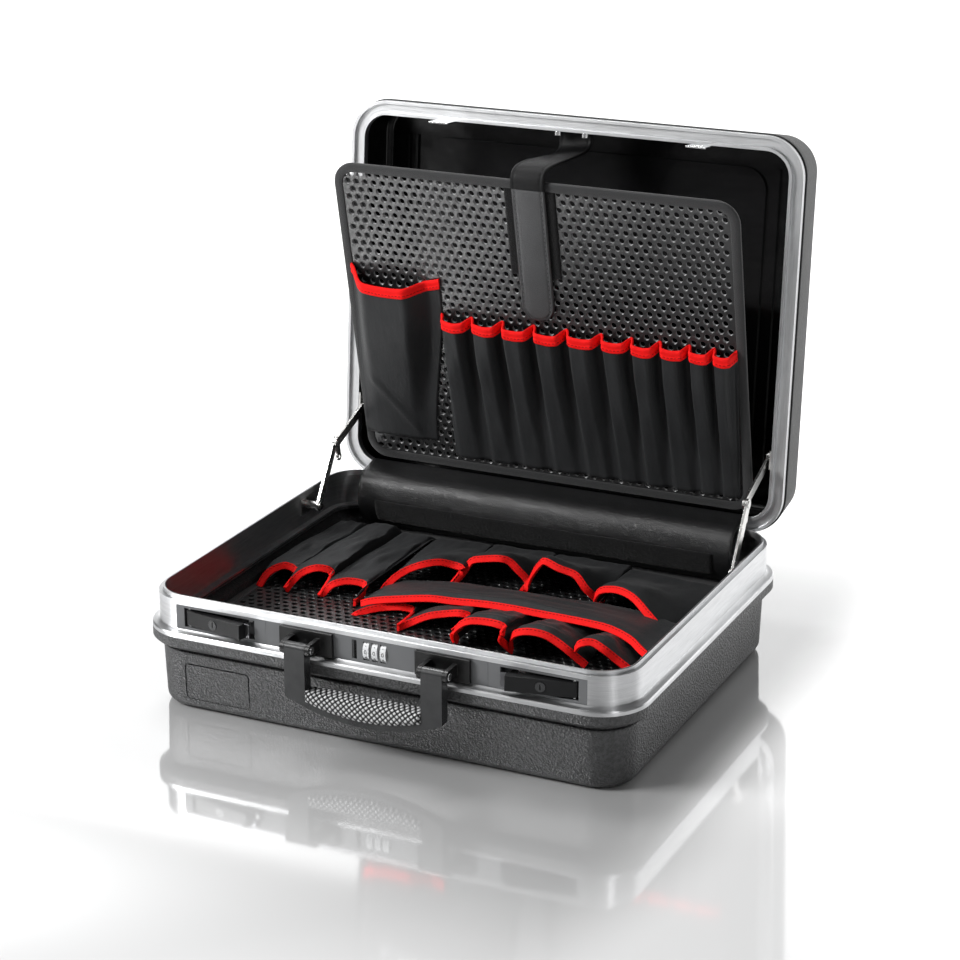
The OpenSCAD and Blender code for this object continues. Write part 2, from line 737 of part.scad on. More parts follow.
// Turns a right latch piece from flush to its open rest position.
module latch_rest(s) {
  mirror([s < 0 ? 1 : 0, 0, 0]) translate([latch_x, lever_pin_y, 0]) rotate(latch_open)
    translate([-latch_x, -lever_pin_y, 0]) children();
}

module latch_lever(s) {
  color("#26282a") latch_rest(s) difference() {
    union() {
      span([latch_x - lever_len, front_y, row_z - lever_h / 2],
        [latch_x, front_y + lever_t, row_z + lever_h / 2]);
      translate([latch_x, lever_pin_y, row_z - lever_h / 2]) cylinder(h = lever_h, r = lever_t / 2);
    }
    translate([latch_x, lever_pin_y, 0]) cylinder(h = rim_z, r = lever_pin_r + clear);
    rod_y(front_y - 1, front_y + lever_t + 1, barrel_r + clear, barrel_x, row_z);
  }
}

module left_latch_lever() { latch_lever(-1); }
module right_latch_lever() { latch_lever(1); }

module latch_hook(s) {
  back = front_y + lever_t;
  color("#dfe1e3") latch_rest(s) {
    span([hook_x - 11, back, row_z - 6], [hook_x + 8, back + 1.4, row_z + 6.6]);
    span([hook_x - hook_w / 2, back + 1.4, hook_z], [hook_x + hook_w / 2, back + 10, hook_z + 2]);
  }
}

module left_latch_hook() { latch_hook(-1); }
module right_latch_hook() { latch_hook(1); }

module key_barrel(s) {
  color("#1a1b1c") latch_rest(s) difference() {
    rod_y(front_y - 0.6, front_y + lever_t, barrel_r, barrel_x, row_z);
    translate([barrel_x - 0.5, front_y - 1, row_z - 2.6]) cube([1, 2.4, 5.2]);
  }
}

module left_key_barrel() { key_barrel(-1); }
module right_key_barrel() { key_barrel(1); }

// ---- handle ----

// The grip's outline in x and z about the pivot line, smaller by m all round.
module grip_outline(m) {
  half = arm_x - arm_w / 2 - 0.2;
  intersection() {
    translate([-half + m, -handle_drop]) square([2 * half - 2 * m, handle_drop - grip_top - m]);
    translate([0, grip_r - handle_drop]) circle(grip_r - rim_bar - m, $fn = 120);
  }
}

module handle() {
  color("#2a2c2e") translate([0, pivot_y, row_z]) difference() {
    rotate([90, 0, 0]) linear_extrude(arm_t, center = true) difference() {
      intersection() {
        translate([-grip_half, -handle_drop]) square([2 * grip_half, handle_drop]);
        translate([0, grip_r - handle_drop]) circle(grip_r, $fn = 120);
      }
      difference() {
        translate([-arm_x + arm_w / 2, -handle_drop]) square([2 * arm_x - arm_w, handle_drop + 1]);
        difference() {
          translate([-arm_x, -handle_drop - 1]) square([2 * arm_x, 2 * handle_drop]);
          translate([0, grip_r - handle_drop]) circle(grip_r - rim_bar, $fn = 120);
        }
      }
    }
    for (s = [-1, 1]) rod_x(s * arm_x - arm_w, s * arm_x + arm_w, handle_pin_r + clear, 0, 0);
  }
  color("#2a2c2e") translate([0, pivot_y, row_z]) for (s = [-1, 1]) difference() {
    rod_x(s * arm_x - arm_w / 2, s * arm_x + arm_w / 2, arm_t / 2, 0, 0);
    rod_x(s * arm_x - arm_w, s * arm_x + arm_w, handle_pin_r + clear, 0, 0);
    translate([-2 * arm_x, -arm_t, -handle_drop - 1]) cube([4 * arm_x, 2 * arm_t, handle_drop]);
  }
}

module handle_grip() {
  color("#3a3c3e") translate([0, pivot_y, row_z]) rotate([90, 0, 0]) {
    linear_extrude(grip_t - 5, center = true) grip_outline(0);
    linear_extrude(grip_t - 2, center = true) grip_outline(1.5);
    linear_extrude(grip_t, center = true) grip_outline(3.5);
  }
}

// ---- lid board ----

// A plain grid of openings that stands for the boards' fine perforation.
module board_openings(w, l) {
  pitch = (w - 2 * edge_w) / holes_across;
  rows = floor((l - 2 * edge_w) / (pitch * 0.87));
  for (j = [0:rows - 1], i = [0:holes_across - 1 - j % 2])
    translate([(i - (holes_across - 1 - j % 2) / 2) * pitch, (j - (rows - 1) / 2) * pitch * 0.87])
      circle(hole_w / 2, $fn = 6);
}

// A board with openings and a bound edge, which stands out below by low_h.
module bound_board(w, l, r, low_h) {
  linear_extrude(board_t) difference() {
    rounded(w - 4, l - 4, r - 2);
    board_openings(w, l);
  }
  translate([0, 0, -low_h]) linear_extrude(board_t + edge_h + low_h) difference() {
    rounded(w, l, r);
    rounded(w - 2 * edge_w, l - 2 * edge_w, r - edge_w);
  }
}

module lid_board() {
  color("#3b3d3f") on_lid_board() translate([0, lid_board_l / 2, -board_t / 2])
    bound_board(lid_board_w, lid_board_l, board_r, edge_h);
}

module lid_large_pocket() {
  color("#202123") on_lid_board()
    tube_pocket(lid_row_x - 6 - lid_large_w / 2, lid_large_w, lid_large_h, 26, lid_board_l * 0.646, board_t / 2);
}

module lid_narrow_pockets() {
  pitch = lid_row_w / lid_pockets;
  color("#202123") on_lid_board() for (i = [0:lid_pockets - 1])
    tube_pocket(lid_row_x + pitch * (i + 0.5), pitch - 1, lid_pocket_h, 14, lid_board_l * 0.534,
      board_t / 2);
}

module hook_band() {
  half = strap_w / 2 + 9;
  color("#0d0d0e") on_lid_board()
    span([-half, lid_board_l * 0.7, board_t / 2], [half, lid_board_l - edge_w - 0.4, board_t / 2 + 2]);
}

module strap() {
  color("#2c2d2f") on_lid_board() translate([0, 0, board_t / 2 + 2]) linear_extrude(3) {
    low = lid_board_l * 0.61;
    translate([-strap_w / 2, low]) square([strap_w, lid_board_l - 4 - low]);
    translate([0, low]) circle(strap_w / 2);
  }
}

// The loose end of the strap, from the lid frame to the board's upper edge.
module strap_loop() {
  board_top = [board_y - lid_board_l * cos(board_lean), board_z - lid_board_l * sin(board_lean)];
  near = board_top + [-3, -2];
  far = [front_y + face_w + 0.4, lid_z - 1];
  color("#2c2d2f") lid_open() translate([-strap_w / 2, 0, 0]) rotate([90, 0, 90])
    linear_extrude(strap_w) polygon([near, near + [-3, 0], far + [0, -3], far, far + [2.5, 0]]);
}

// ---- base board ----

module base_board() {
  notch_half = seam_in + 2.5;
  color("#3b3d3f") difference() {
    translate([0, (base_board_front + base_board_rear) / 2, ledge_z])
      bound_board(base_board_w, base_board_d, corner_r - wall_in, 0);
    span([-notch_half, base_board_front - 1, ledge_z - 1],
      [notch_half, dial_y + dial_r + 4, base_board_z + 1]);
  }
}

module sleeve_pockets() {
  pitch = sleeve_w / sleeves;
  color("#202123") for (i = [0:sleeves - 1])
    tube_pocket(sleeve_x + pitch * (i + 0.5), pitch - 2, sleeve_h, board_at(0.453), board_at(0.897),
      base_board_z);
}

module front_row_pockets() {
  pitch = row_w * 0.98 / front_pockets;
  color("#202123") for (i = [0:front_pockets - 1])
    tube_pocket(row_x + pitch * (i + 0.5), pitch - 2, front_h, board_at(0.328), board_at(0.476),
      base_board_z);
}

module wide_pocket() {
  color("#202123") span([row_x, board_at(0.479), base_board_z],
    [row_x + row_w, board_at(0.646), base_board_z + wide_h]);
}

module rear_row_pockets() {
  pitch = row_w / rear_pockets;
  color("#202123") for (i = [0:rear_pockets - 1])
    tube_pocket(row_x + pitch * (i + 0.5), pitch - 2, rear_h, board_at(0.652), board_at(0.905),
      base_board_z);
}

base_shell();
base_frame();
left_latch_housing();
right_latch_housing();
left_handle_bracket();
right_handle_bracket();
lock_plate();
dial_shaft();
handle_pins();
latch_pins();
base_hinge_leaf();
hinge_pin();
hinge_rivets();
left_stay_foot();
right_stay_foot();
rear_flap();
flap_strip();
lid_shell();
lid_frame();
lid_hinge_leaf();
lid_strikers();
strap_rivets();
left_stay_head();
right_stay_head();
strap_loop();
lid_board();
lid_large_pocket();
lid_narrow_pockets();
strap();
hook_band();
base_board();
sleeve_pockets();
front_row_pockets();
wide_pocket();
rear_row_pockets();
left_lower_link();
right_lower_link();
left_upper_link();
right_upper_link();
left_latch_lever();
right_latch_lever();
left_latch_hook();
right_latch_hook();
left_key_barrel();
right_key_barrel();
dial_1();
dial_2();
dial_3();
lock_slider();
handle();
handle_grip();
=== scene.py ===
import json
from math import cos, dist, exp, hypot, pi, radians, sin, sqrt, tan
import bpy
import bmesh
from mathutils import Matrix, Vector, noise

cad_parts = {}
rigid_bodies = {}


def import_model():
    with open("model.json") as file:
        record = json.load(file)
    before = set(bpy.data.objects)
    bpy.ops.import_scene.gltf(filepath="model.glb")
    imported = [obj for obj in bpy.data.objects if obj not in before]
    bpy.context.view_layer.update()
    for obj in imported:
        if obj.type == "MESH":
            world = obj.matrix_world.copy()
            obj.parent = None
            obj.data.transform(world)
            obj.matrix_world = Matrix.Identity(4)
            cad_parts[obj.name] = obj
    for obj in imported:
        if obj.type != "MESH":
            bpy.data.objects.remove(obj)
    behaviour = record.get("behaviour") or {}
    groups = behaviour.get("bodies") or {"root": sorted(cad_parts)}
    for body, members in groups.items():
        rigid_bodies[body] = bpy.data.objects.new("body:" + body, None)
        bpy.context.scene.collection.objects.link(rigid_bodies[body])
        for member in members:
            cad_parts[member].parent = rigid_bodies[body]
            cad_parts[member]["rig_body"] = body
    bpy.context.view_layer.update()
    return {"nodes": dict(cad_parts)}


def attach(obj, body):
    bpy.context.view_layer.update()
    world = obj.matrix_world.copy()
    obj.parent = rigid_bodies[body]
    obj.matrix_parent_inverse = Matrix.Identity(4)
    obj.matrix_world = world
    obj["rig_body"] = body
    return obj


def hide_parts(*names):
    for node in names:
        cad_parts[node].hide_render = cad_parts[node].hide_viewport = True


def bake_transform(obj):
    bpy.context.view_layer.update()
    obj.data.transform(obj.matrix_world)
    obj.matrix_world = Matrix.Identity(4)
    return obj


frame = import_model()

# ---- Where the case is seen from ----
# A long lens a little above the rim, to the right of the case's middle.
# The case stands open with its front towards the lens.
MM = 0.001
turn_right, rise, lean = radians(25.36), radians(19.54), radians(-0.2)
away = Vector((sin(turn_right) * cos(rise), -cos(turn_right) * cos(rise), sin(rise)))


def put(name, data):
    """A new object in the scene, from its mesh, lamp or lens."""
    made = bpy.data.objects.new(name, data)
    bpy.context.scene.collection.objects.link(made)
    return made


lens = bpy.data.cameras.new("lens")
lens.lens, lens.sensor_width = 98.68, 36
camera = put("lens", lens)
camera.matrix_world = (
    Matrix.Translation(Vector((-14.65, 54.6, 168.3)) * MM + away * 2.4494)
    @ away.to_track_quat("Z", "Y").to_matrix().to_4x4()
    @ Matrix.Rotation(lean, 4, "Z")
)
bpy.context.scene.camera = camera


# ---- Finishes ----
# Every finish is mixed from procedural nodes. Wire carries one value through
# them, and Finish is the material that the values end up in.
class Wire:
    """One value on its way into a finish. Arithmetic on it adds Math nodes."""

    def __init__(self, finish, socket):
        self.finish, self.socket = finish, socket

    def math(self, operation, *terms):
        return self.finish.node("ShaderNodeMath", {"operation": operation}, dict(enumerate(terms)))

    def __add__(self, other):
        return self.math("ADD", self, other)

    __radd__ = __add__

    def __sub__(self, other):
        return self.math("SUBTRACT", self, other)

    def __rsub__(self, other):
        return self.math("SUBTRACT", other, self)

    def __mul__(self, other):
        return self.math("MULTIPLY", self, other)

    __rmul__ = __mul__

    def __pow__(self, other):
        return self.math("POWER", self, other)

    def __mod__(self, other):
        return self.math("FLOORED_MODULO", self, other)

    def __abs__(self):
        return self.math("ABSOLUTE", self)

    def above(self, limit):
        return self.math("GREATER_THAN", self, limit)

    def most(self, other):
        return self.math("MAXIMUM", self, other)

    def least(self, other):
        return self.math("MINIMUM", self, other)

    def sine(self):
        return self.math("SINE", self)

    def rising(self, low, high):
        """0 below low, 1 above high, smooth between."""
        return self.finish.node("ShaderNodeMapRange", {"interpolation_type": "SMOOTHSTEP"},
                                {"Value": self, "From Min": low, "From Max": high})


class Finish:
    """A material. Keyword names are the shader's sockets, with _ for a space."""

    def __init__(self, name, **sockets):
        self.material = bpy.data.materials.new(name)
        self.material.use_nodes = True
        self.tree = self.material.node_tree
        self.shader = self.tree.nodes["Principled BSDF"]
        self.feed(**sockets)

    def feed(self, **sockets):
        for name, value in sockets.items():
            self.plug(self.shader.inputs[name.replace("_", " ")], value)

    def plug(self, socket, value):
        if isinstance(value, Wire):
            self.tree.links.new(value.socket, socket)
        elif hasattr(value, "__len__") and socket.type == "RGBA":
            socket.default_value = (*value[:3], 1)
        else:
            socket.default_value = value

    def node(self, kind, settings=None, inputs=None, output=0):
        made = self.tree.nodes.new(kind)
        for name, value in (settings or {}).items():
            setattr(made, name, value)
        for name, value in (inputs or {}).items():
            self.plug(made.inputs[name], value)
        return Wire(self, made.outputs[output])

    def place(self):
        return self.node("ShaderNodeTexCoord", output="Object")

    def axes(self, vector):
        first = self.node("ShaderNodeSeparateXYZ", inputs={0: vector})
        return [Wire(self, out) for out in first.socket.node.outputs]

    def vector(self, x, y, z):
        return self.node("ShaderNodeCombineXYZ", inputs={0: x, 1: y, 2: z})

    def grain(self, vector, size, detail=2.0, rough=0.5):
        """Noise with features about size mm across."""
        return self.node("ShaderNodeTexNoise", inputs={
            "Vector": vector, "Scale": 1000 / size, "Detail": detail, "Roughness": rough})

    def cells(self, vector, size, feature="F1"):
        return self.node("ShaderNodeTexVoronoi", {"feature": feature},
                         {"Vector": vector, "Scale": 1000 / size})

    def mix(self, factor, first, second):
        return self.node("ShaderNodeMix", {"data_type": "RGBA"}, {0: factor, 6: first, 7: second}, 2)

    def relief(self, height, depth, under=None):
        """Bump of a height from 0 to 1 that stands for depth mm."""
        inputs = {"Height": height, "Distance": depth * MM}
        if under:
            inputs["Normal"] = under
        return self.node("ShaderNodeBump", inputs=inputs)


# ---- Floor and light ----
# A wide, pale and polished floor in a dark room, with a white wall far behind it.
# It glows, brighter away from the case, so that it runs into the wall without an edge.
floor_mesh = bpy.data.meshes.new("floor")
floor_mesh.from_pydata([(-9, -5, 0), (9, -5, 0), (9, 14, 0), (-9, 14, 0)], [], [(0, 1, 2, 3)])
floor = put("floor", floor_mesh)
floor.location.z = -0.0006
pale = Finish("pale_floor", Specular_IOR_Level=0.5, Emission_Strength=1.0)
spot = pale.place()
floor_x, floor_y, _ = pale.axes(spot)
haze = pale.grain(spot, 420, 3)
beside = ((floor_x - 0.23) * 3).most(-0.22 - floor_x).most(0)
before = (abs(floor_y) - 0.22).most(0)
away_from_case = (beside * beside + before * before) ** 0.5
# Painted shade on the floor: its glow is off close to the case and dimmer towards the front right.
painted_floor_glow = away_from_case.rising(0.05, 0.38)
painted_front_right_dimming = ((floor_x - floor_y) * 0.707).rising(0.18, 0.42) * (1 - away_from_case.rising(0.7, 1.2))
pale.feed(
    Base_Color=pale.mix(haze, (0.60, 0.603, 0.606), (0.64, 0.64, 0.64)),
    Metallic=0.50 - 0.30 * painted_floor_glow,
    Roughness=0.045 + 0.03 * haze,
    Emission_Color=pale.mix(painted_floor_glow * (1 - 0.75 * painted_front_right_dimming), (0.0, 0.0, 0.0), (0.72, 0.72, 0.72)),
)
floor_mesh.materials.append(pale.material)

wall_mesh = bpy.data.meshes.new("white_wall")
wall_mesh.from_pydata([(-8, 5.2, 0), (8, 5.2, 0), (8, 5.2, 3.4), (-8, 5.2, 3.4)], [], [(0, 1, 2, 3)])
wall = put("white_wall", wall_mesh)
white = Finish("white_wall", Base_Color=(0.8, 0.8, 0.8), Emission_Color=(1.0, 1.0, 1.0), Emission_Strength=1.15)
wall_mesh.materials.append(white.material)

world = bpy.data.worlds.new("room")
world.use_nodes = True
world.node_tree.nodes["Background"].inputs["Color"].default_value = (1, 1, 1, 1)
world.node_tree.nodes["Background"].inputs["Strength"].default_value = 0.11
bpy.context.scene.world = world
bpy.context.scene.view_settings.view_transform = "Standard"


def soft_box(name, position, target, size, power):
    light = bpy.data.lights.new(name, "AREA")
    light.shape, light.size, light.size_y, light.energy = "RECTANGLE", *size, power
    box = put(name, light)
    box.location = position
    box.rotation_euler = (Vector(target) - Vector(position)).to_track_quat("-Z", "Y").to_euler()


soft_box("overhead_box", (-0.95, -0.5, 2.2), (0, 0.02, 0.1), (1.3, 1.5), 8)
soft_box("front_left_box", (-1.75, -1.40, 1.5), (0, 0, 0.15), (0.9, 0.9), 84)
soft_box("top_box", (-0.85, 0.72, 2.5), (0, 0.12, 0.44), (1.1, 0.7), 36)
soft_box("right_strip", (1.65, -1.1, 1.3), (0, 0, 0.1), (0.22, 1.2), 6)


# ---- Base shell ----
# Lower half of the case, vacuum-formed from black ABS with a fine pebbled skin:
# belt under the frame, drafted walls, recessed panel at the front left.
def belongs(piece, body, slot, *nodes):
    """Puts a piece on its body and hides the nodes it stands for. The slot is not used."""
    if body:
        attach(piece, body)
    if nodes:
        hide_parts(*nodes)
    return piece


def sharpen(mesh, angle=30):
    """Smooth faces with crisp edges where they meet at more than angle degrees."""
    work = bmesh.new()
    work.from_mesh(mesh)
    for face in work.faces:
        face.smooth = True
    for edge in work.edges:
        if len(edge.link_faces) == 2:
            edge.smooth = edge.calc_face_angle(0) < radians(angle)
    work.to_mesh(mesh)
    work.free()


def skin_of(node, finish, slot, edge=0.4, steps=2):
    """The node's own shape with its edges rounded, as the moulded or milled piece has them."""
    mesh = frame["nodes"][node].data.copy()
    mesh.name = node + "_skin"
    work = bmesh.new()
    work.from_mesh(mesh)
    bmesh.ops.remove_doubles(work, verts=work.verts, dist=2e-6)
    bmesh.ops.dissolve_limit(work, angle_limit=radians(0.6), verts=work.verts, edges=work.edges)
    work.to_mesh(mesh)
    work.free()
    if mesh.has_custom_normals:
        mesh.normals_split_custom_set([(0, 0, 0)] * len(mesh.loops))
    mesh.materials.clear()
    mesh.materials.append(finish.material)
    sharpen(mesh)
    piece = put(node + "_skin", mesh)
    if edge:
        bevel = piece.modifiers.new("edge", "BEVEL")
        bevel.width, bevel.segments = edge * MM, steps
        bevel.limit_method, bevel.angle_limit = "ANGLE", radians(32)
        bevel.harden_normals = True
    belongs(piece, frame["nodes"][node]["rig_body"], slot, node)


CASE_W, CASE_D, CORNER = 466, 378, 38


def outline_distance(finish, x, y):
    """Distance in metres from the case's outline, negative inside it."""
    across = abs(x) - (CASE_W / 2 - CORNER) * MM
    along = abs(y) - (CASE_D / 2 - CORNER) * MM
    corner = (across.most(0) ** 2 + along.most(0) ** 2) ** 0.5
    return corner + across.most(along).least(0) - CORNER * MM


pebbled = Finish("pebbled_abs", Specular_IOR_Level=0.7)
spot = pebbled.place()
pebbles = pebbled.cells(spot, 2.0)
cloud = pebbled.grain(spot, 60, 3)
fine = pebbled.grain(spot, 1.1, 2, 0.6)
speck = pebbled.grain(spot, 3.0, 3, 0.7).rising(0.40, 0.62)
pebbled.feed(
    Base_Color=pebbled.mix(speck * 0.7 + cloud * 0.3, (0.014, 0.0144, 0.015), (0.052, 0.053, 0.055)),
    Roughness=0.36 + 0.08 * cloud + 0.10 * fine,
    Normal=pebbled.relief(pebbles * 0.8 + fine * 0.5, 0.75),
)
skin_of("base_shell", pebbled, "shell_abs", 0.6)

# ---- Lid shell ----
# Upper half, formed from the same kind of sheet. Its outside is pebbled, and the inside
# is the smooth, glossy side of the sheet, with a raised panel and two ribs on each side.
HINGE = Vector((0, 189.35, 101.7)) * MM
LID_Z, LID_DEPTH, OPEN = 106.6, 64, radians(95)


def closed_place(finish):
    """Where a point of the open lid lies when the lid is closed."""
    return finish.node("ShaderNodeVectorRotate", {"rotation_type": "X_AXIS"},
                       {"Vector": finish.place(), "Center": HINGE, "Angle": OPEN})


lid_sheet = Finish("lid_abs", Specular_IOR_Level=0.38)
spot = lid_sheet.place()
lid_x, lid_y, lid_up = lid_sheet.axes(closed_place(lid_sheet))
above_plane = lid_up - LID_Z * MM
taper = (above_plane - 0.0086).most(0) * tan(radians(7.5))
under_skin = 1 - (outline_distance(lid_sheet, lid_x, lid_y) + taper).above(-0.0004)
inside = under_skin * (1 - above_plane.above((LID_DEPTH - 1.5) * MM))
outside = 1 - inside
pebbles = lid_sheet.cells(spot, 2.0)
fine = lid_sheet.grain(spot, 1.1, 2, 0.6)
cloud = lid_sheet.grain(spot, 60, 3)
ripple = lid_sheet.grain(spot, 38, 2)
lid_sheet.feed(
    Base_Color=lid_sheet.mix(outside, (0.003, 0.003, 0.0033), (0.008, 0.0082, 0.0086)),
    Roughness=outside * (0.46 + 0.10 * cloud) + inside * (0.15 + 0.06 * cloud),
    Normal=lid_sheet.relief((pebbles * 0.8 + fine * 0.4) * outside * 0.50 + ripple * inside * 0.6, 1.0),
)
skin_of("lid_shell", lid_sheet, "shell_abs", 0.9, 3)


# ---- Frames ----
# Extruded aluminium, bent round both halves and brushed along its length. The
# base frame has a lip, a flange and a tongue; the lid frame has two beads.
def brushed(name, lid):
    finish = Finish(name, Metallic=1.0)
    if not lid:
        finish.feed(Anisotropic=0.8, Anisotropic_Rotation=0.25)
    spot = closed_place(finish) if lid else finish.place()
    x, y, z = finish.axes(spot)
    across = outline_distance(finish, x, y) + z
    streaks = finish.grain(finish.vector(x * 0.02, y * 0.02, across), 0.34, 2, 0.6)
    wide = finish.grain(finish.vector(x * 0.08, y * 0.08, across), 2.6, 2)
    spots = finish.grain(spot, 55, 2)
    finish.feed(
        Base_Color=finish.mix(streaks * 0.6 + wide * 0.4, (0.36, 0.366, 0.374), (0.86, 0.865, 0.875)),
        Roughness=0.27 + 0.16 * streaks + 0.08 * spots,
        Normal=finish.relief(streaks * 0.7 + wide * 0.5, 0.09),
    )
    return finish


skin_of("base_frame", brushed("base_aluminium", False), "aluminium", 0.2)
skin_of("lid_frame", brushed("lid_aluminium", True), "aluminium", 0.2)


# ---- Rear hinge ----
# A long rolled steel hinge: base leaf, lid leaf and a pin, riveted to the frame.
def clouded(name, low, high, cloud, rough=None, tooth=None, depth=0.0, **sockets):
    """A finish that drifts from low to high. cloud and tooth are noises: size in mm, detail.

    rough is the roughness at low and what it gains at high. tooth is depth mm deep.
    """
    finish = Finish(name, **sockets)
    spot = finish.place()
    shade = finish.grain(spot, *cloud)
    finish.feed(Base_Color=finish.mix(shade, low, high))
    if rough:
        finish.feed(Roughness=rough[0] + rough[1] * shade)
    if tooth:
        finish.feed(Normal=finish.relief(finish.grain(spot, *tooth), depth))
    return finish


def plain_steel(name, light, dark, rough):
    return clouded(name, dark, light, (9, 3), (rough, 0.12), (0.6, 2), 0.03, Metallic=1.0)


def dress(finish, *nodes):
    for node in nodes:
        slots = frame["nodes"][node].data.materials
        slots.clear()
        slots.append(finish.material)


zinc = plain_steel("zinc_steel", (0.62, 0.63, 0.65), (0.46, 0.47, 0.49), 0.30)
skin_of("base_hinge_leaf", zinc, "steel", 0.2, 1)
skin_of("lid_hinge_leaf", zinc, "steel", 0.2, 1)
skin_of("hinge_rivets", zinc, "steel", 0.3)
dress(zinc, "hinge_pin")

# ---- Stays ----
# Two folding stays of nickel-plated steel strip: a foot on the base frame, lower
# and upper link with a stop tab, and a head on the lid frame. Pressed and riveted.
nickel = plain_steel("nickel_steel", (0.74, 0.73, 0.71), (0.55, 0.55, 0.54), 0.20)
for side in ("left", "right"):
    for part in ("stay_foot", "stay_head", "lower_link", "upper_link"):
        skin_of(f"{side}_{part}", nickel, "steel", 0.35)

# ---- Plates in the frame's front ----
# Latch housings, handle brackets and lock plate: grey nylon mouldings with a
# fine spark-eroded grain, let into the front of the base frame.
nylon = Finish("grey_nylon", Specular_IOR_Level=0.45)
spot = nylon.place()
tooth = nylon.grain(spot, 0.45, 2)
cloud = nylon.grain(spot, 30, 2)
_, plate_y, _ = nylon.axes(spot)
pad = 1 - (plate_y + 0.1889).rising(-0.0002, 0.0002)
grey = nylon.mix(cloud, (0.098, 0.101, 0.105), (0.125, 0.128, 0.133))
# Where the plates lie back behind their faces they are painted dark: painted shade in the recesses.
deep = 1 - (plate_y + 0.1868).rising(-0.0006, 0.0) * 0.85
nylon.feed(
    Base_Color=nylon.mix(pad, nylon.mix(deep, (0.010, 0.010, 0.011), grey), (0.004, 0.004, 0.0042)),
    Roughness=0.40 + 0.12 * tooth - 0.14 * pad,
    Normal=nylon.relief(tooth, 0.05),
)
for node in ("left_latch_housing", "right_latch_housing", "left_handle_bracket",
             "right_handle_bracket", "lock_plate"):
    skin_of(node, nylon, "plate_plastic", 0.45)

# ---- Latches ----
# Black moulded levers on upright steel pins, with a blackened hook plate behind and
# a round key barrel in each. Both levers stand a little open.
satin = Finish("black_nylon", Specular_IOR_Level=0.5)
spot = satin.place()
tooth = satin.grain(spot, 0.5, 2)
cloud = satin.grain(spot, 24, 2)
satin.feed(
    Base_Color=satin.mix(cloud, (0.020, 0.0205, 0.0215), (0.034, 0.035, 0.036)),
    Roughness=0.21 + 0.08 * tooth + 0.06 * cloud,
    Normal=satin.relief(tooth, 0.035),
)
matt = clouded("lever_nylon", (0.006, 0.0062, 0.0066), (0.012, 0.0122, 0.0128), (24, 2), (0.30, 0.10),
               (0.5, 2), 0.04, Specular_IOR_Level=0.22)
polished = plain_steel("polished_steel", (0.86, 0.865, 0.87), (0.70, 0.705, 0.71), 0.12)
dark_steel = plain_steel("blackened_steel", (0.20, 0.20, 0.21), (0.10, 0.10, 0.105), 0.24)
for side in ("left", "right"):
    skin_of(f"{side}_latch_lever", matt, "black_plastic", 0.9, 3)
    skin_of(f"{side}_latch_hook", dark_steel, "steel", 0.2)
    skin_of(f"{side}_key_barrel", satin, "barrel_black", 0.3)
dress(polished, "latch_pins")

# ---- Number lock ----
# Three moulded dials with notched rims and printed digits on one steel shaft,
# and a black slider that stands out of an upright slot.
ivory = clouded("dial_plastic", (0.60, 0.61, 0.62), (0.74, 0.75, 0.76), (5, 2), (0.34, 0.1),
                (0.5, 1), 0.02, Specular_IOR_Level=0.5)
ink = clouded("black_ink", (0.012, 0.012, 0.013), (0.03, 0.03, 0.032), (1.2, 2), Roughness=0.6)
DIAL_Y, ROW_Z, DIAL_R, DIAL_PITCH = -179.9, 91.1, 10.8, 8.3


def digit_mesh(figure):
    curve = bpy.data.curves.new("digit", "FONT")
    curve.body, curve.size, curve.align_x, curve.extrude = str(figure), 5.2, "CENTER", 0.05
    glyph = put("digit", curve)
    mesh = bpy.data.meshes.new_from_object(glyph.evaluated_get(bpy.context.evaluated_depsgraph_get()))
    bpy.data.objects.remove(glyph)
    return mesh


digits = [digit_mesh(figure) for figure in range(10)]
for index in range(3):
    dial = f"dial_{index + 1}"
    skin_of(dial, ivory, "dial_plastic", 0.12, 1)
    print_mesh = bmesh.new()
    for figure, glyph in enumerate(digits):
        start = len(print_mesh.verts)
        print_mesh.from_mesh(glyph)
        print_mesh.verts.ensure_lookup_table()
        for vertex in print_mesh.verts[start:]:
            flat = vertex.co.copy()
            tilt = radians(36 * figure) + (flat.y - 1.85) / DIAL_R
            radius = DIAL_R + 0.05 + flat.z
            vertex.co = Vector((
                (index - 1) * DIAL_PITCH + flat.x,
                DIAL_Y - radius * cos(tilt),
                ROW_Z + radius * sin(tilt))) * MM
    mesh = bpy.data.meshes.new(dial + "_digits")
    print_mesh.to_mesh(mesh)
    print_mesh.free()
    mesh.materials.append(ink.material)
    belongs(put(dial + "_digits", mesh), dial + "_body", "dial_plastic")
skin_of("lock_slider", satin, "black_plastic", 0.4)
dress(polished, "dial_shaft")

# ---- Handle ----
# Black moulded bow on two steel pins. Its grip is a softer insert with a fine
# diamond pattern, and the bow's lower edge is smooth.
rubber = Finish("grip_rubber", Specular_IOR_Level=0.4)
grip_x, grip_y, grip_up = rubber.axes(rubber.place())
pitch = 2 * pi / (5.4 * MM)
one = abs(((grip_x + grip_up + grip_y * 0.5) * (pitch / 2)).sine())
two = abs(((grip_x - grip_up - grip_y * 0.5) * (pitch / 2)).sine())
diamonds = (one * two) ** 0.6
# The diamonds' tops are painted light grey over the black rubber: a painted highlight on each diamond.
rubber.feed(
    Base_Color=rubber.mix(diamonds.rising(0.35, 1.0), (0.005, 0.005, 0.0055), (0.60, 0.605, 0.61)),
    Roughness=0.26 + 0.3 * (1 - diamonds),
    Normal=rubber.relief(diamonds, 1.5),
)
skin_of("handle", satin, "black_plastic", 1.6, 4)
skin_of("handle_grip", rubber, "grip_plastic", 0.9, 3)
skin_of("handle_pins", polished, "steel", 0.4)

# ---- Lid board ----
# Stiff perforated plastic board with a cloth-bound edge. It stands in the lid on
# its lower edge and leans out until the strap holds it.
BOARD_W, BOARD_L, BOARD_R = 410, 322, 22
PITCH, HOLE, NET_HALF = 9.3, 2.9, 1.3
LEAN_COS, LEAN_SIN = 0.9781, 0.2079
BOARD_FOOT_Y, BOARD_FOOT_Z = 198.0845, 122.3674


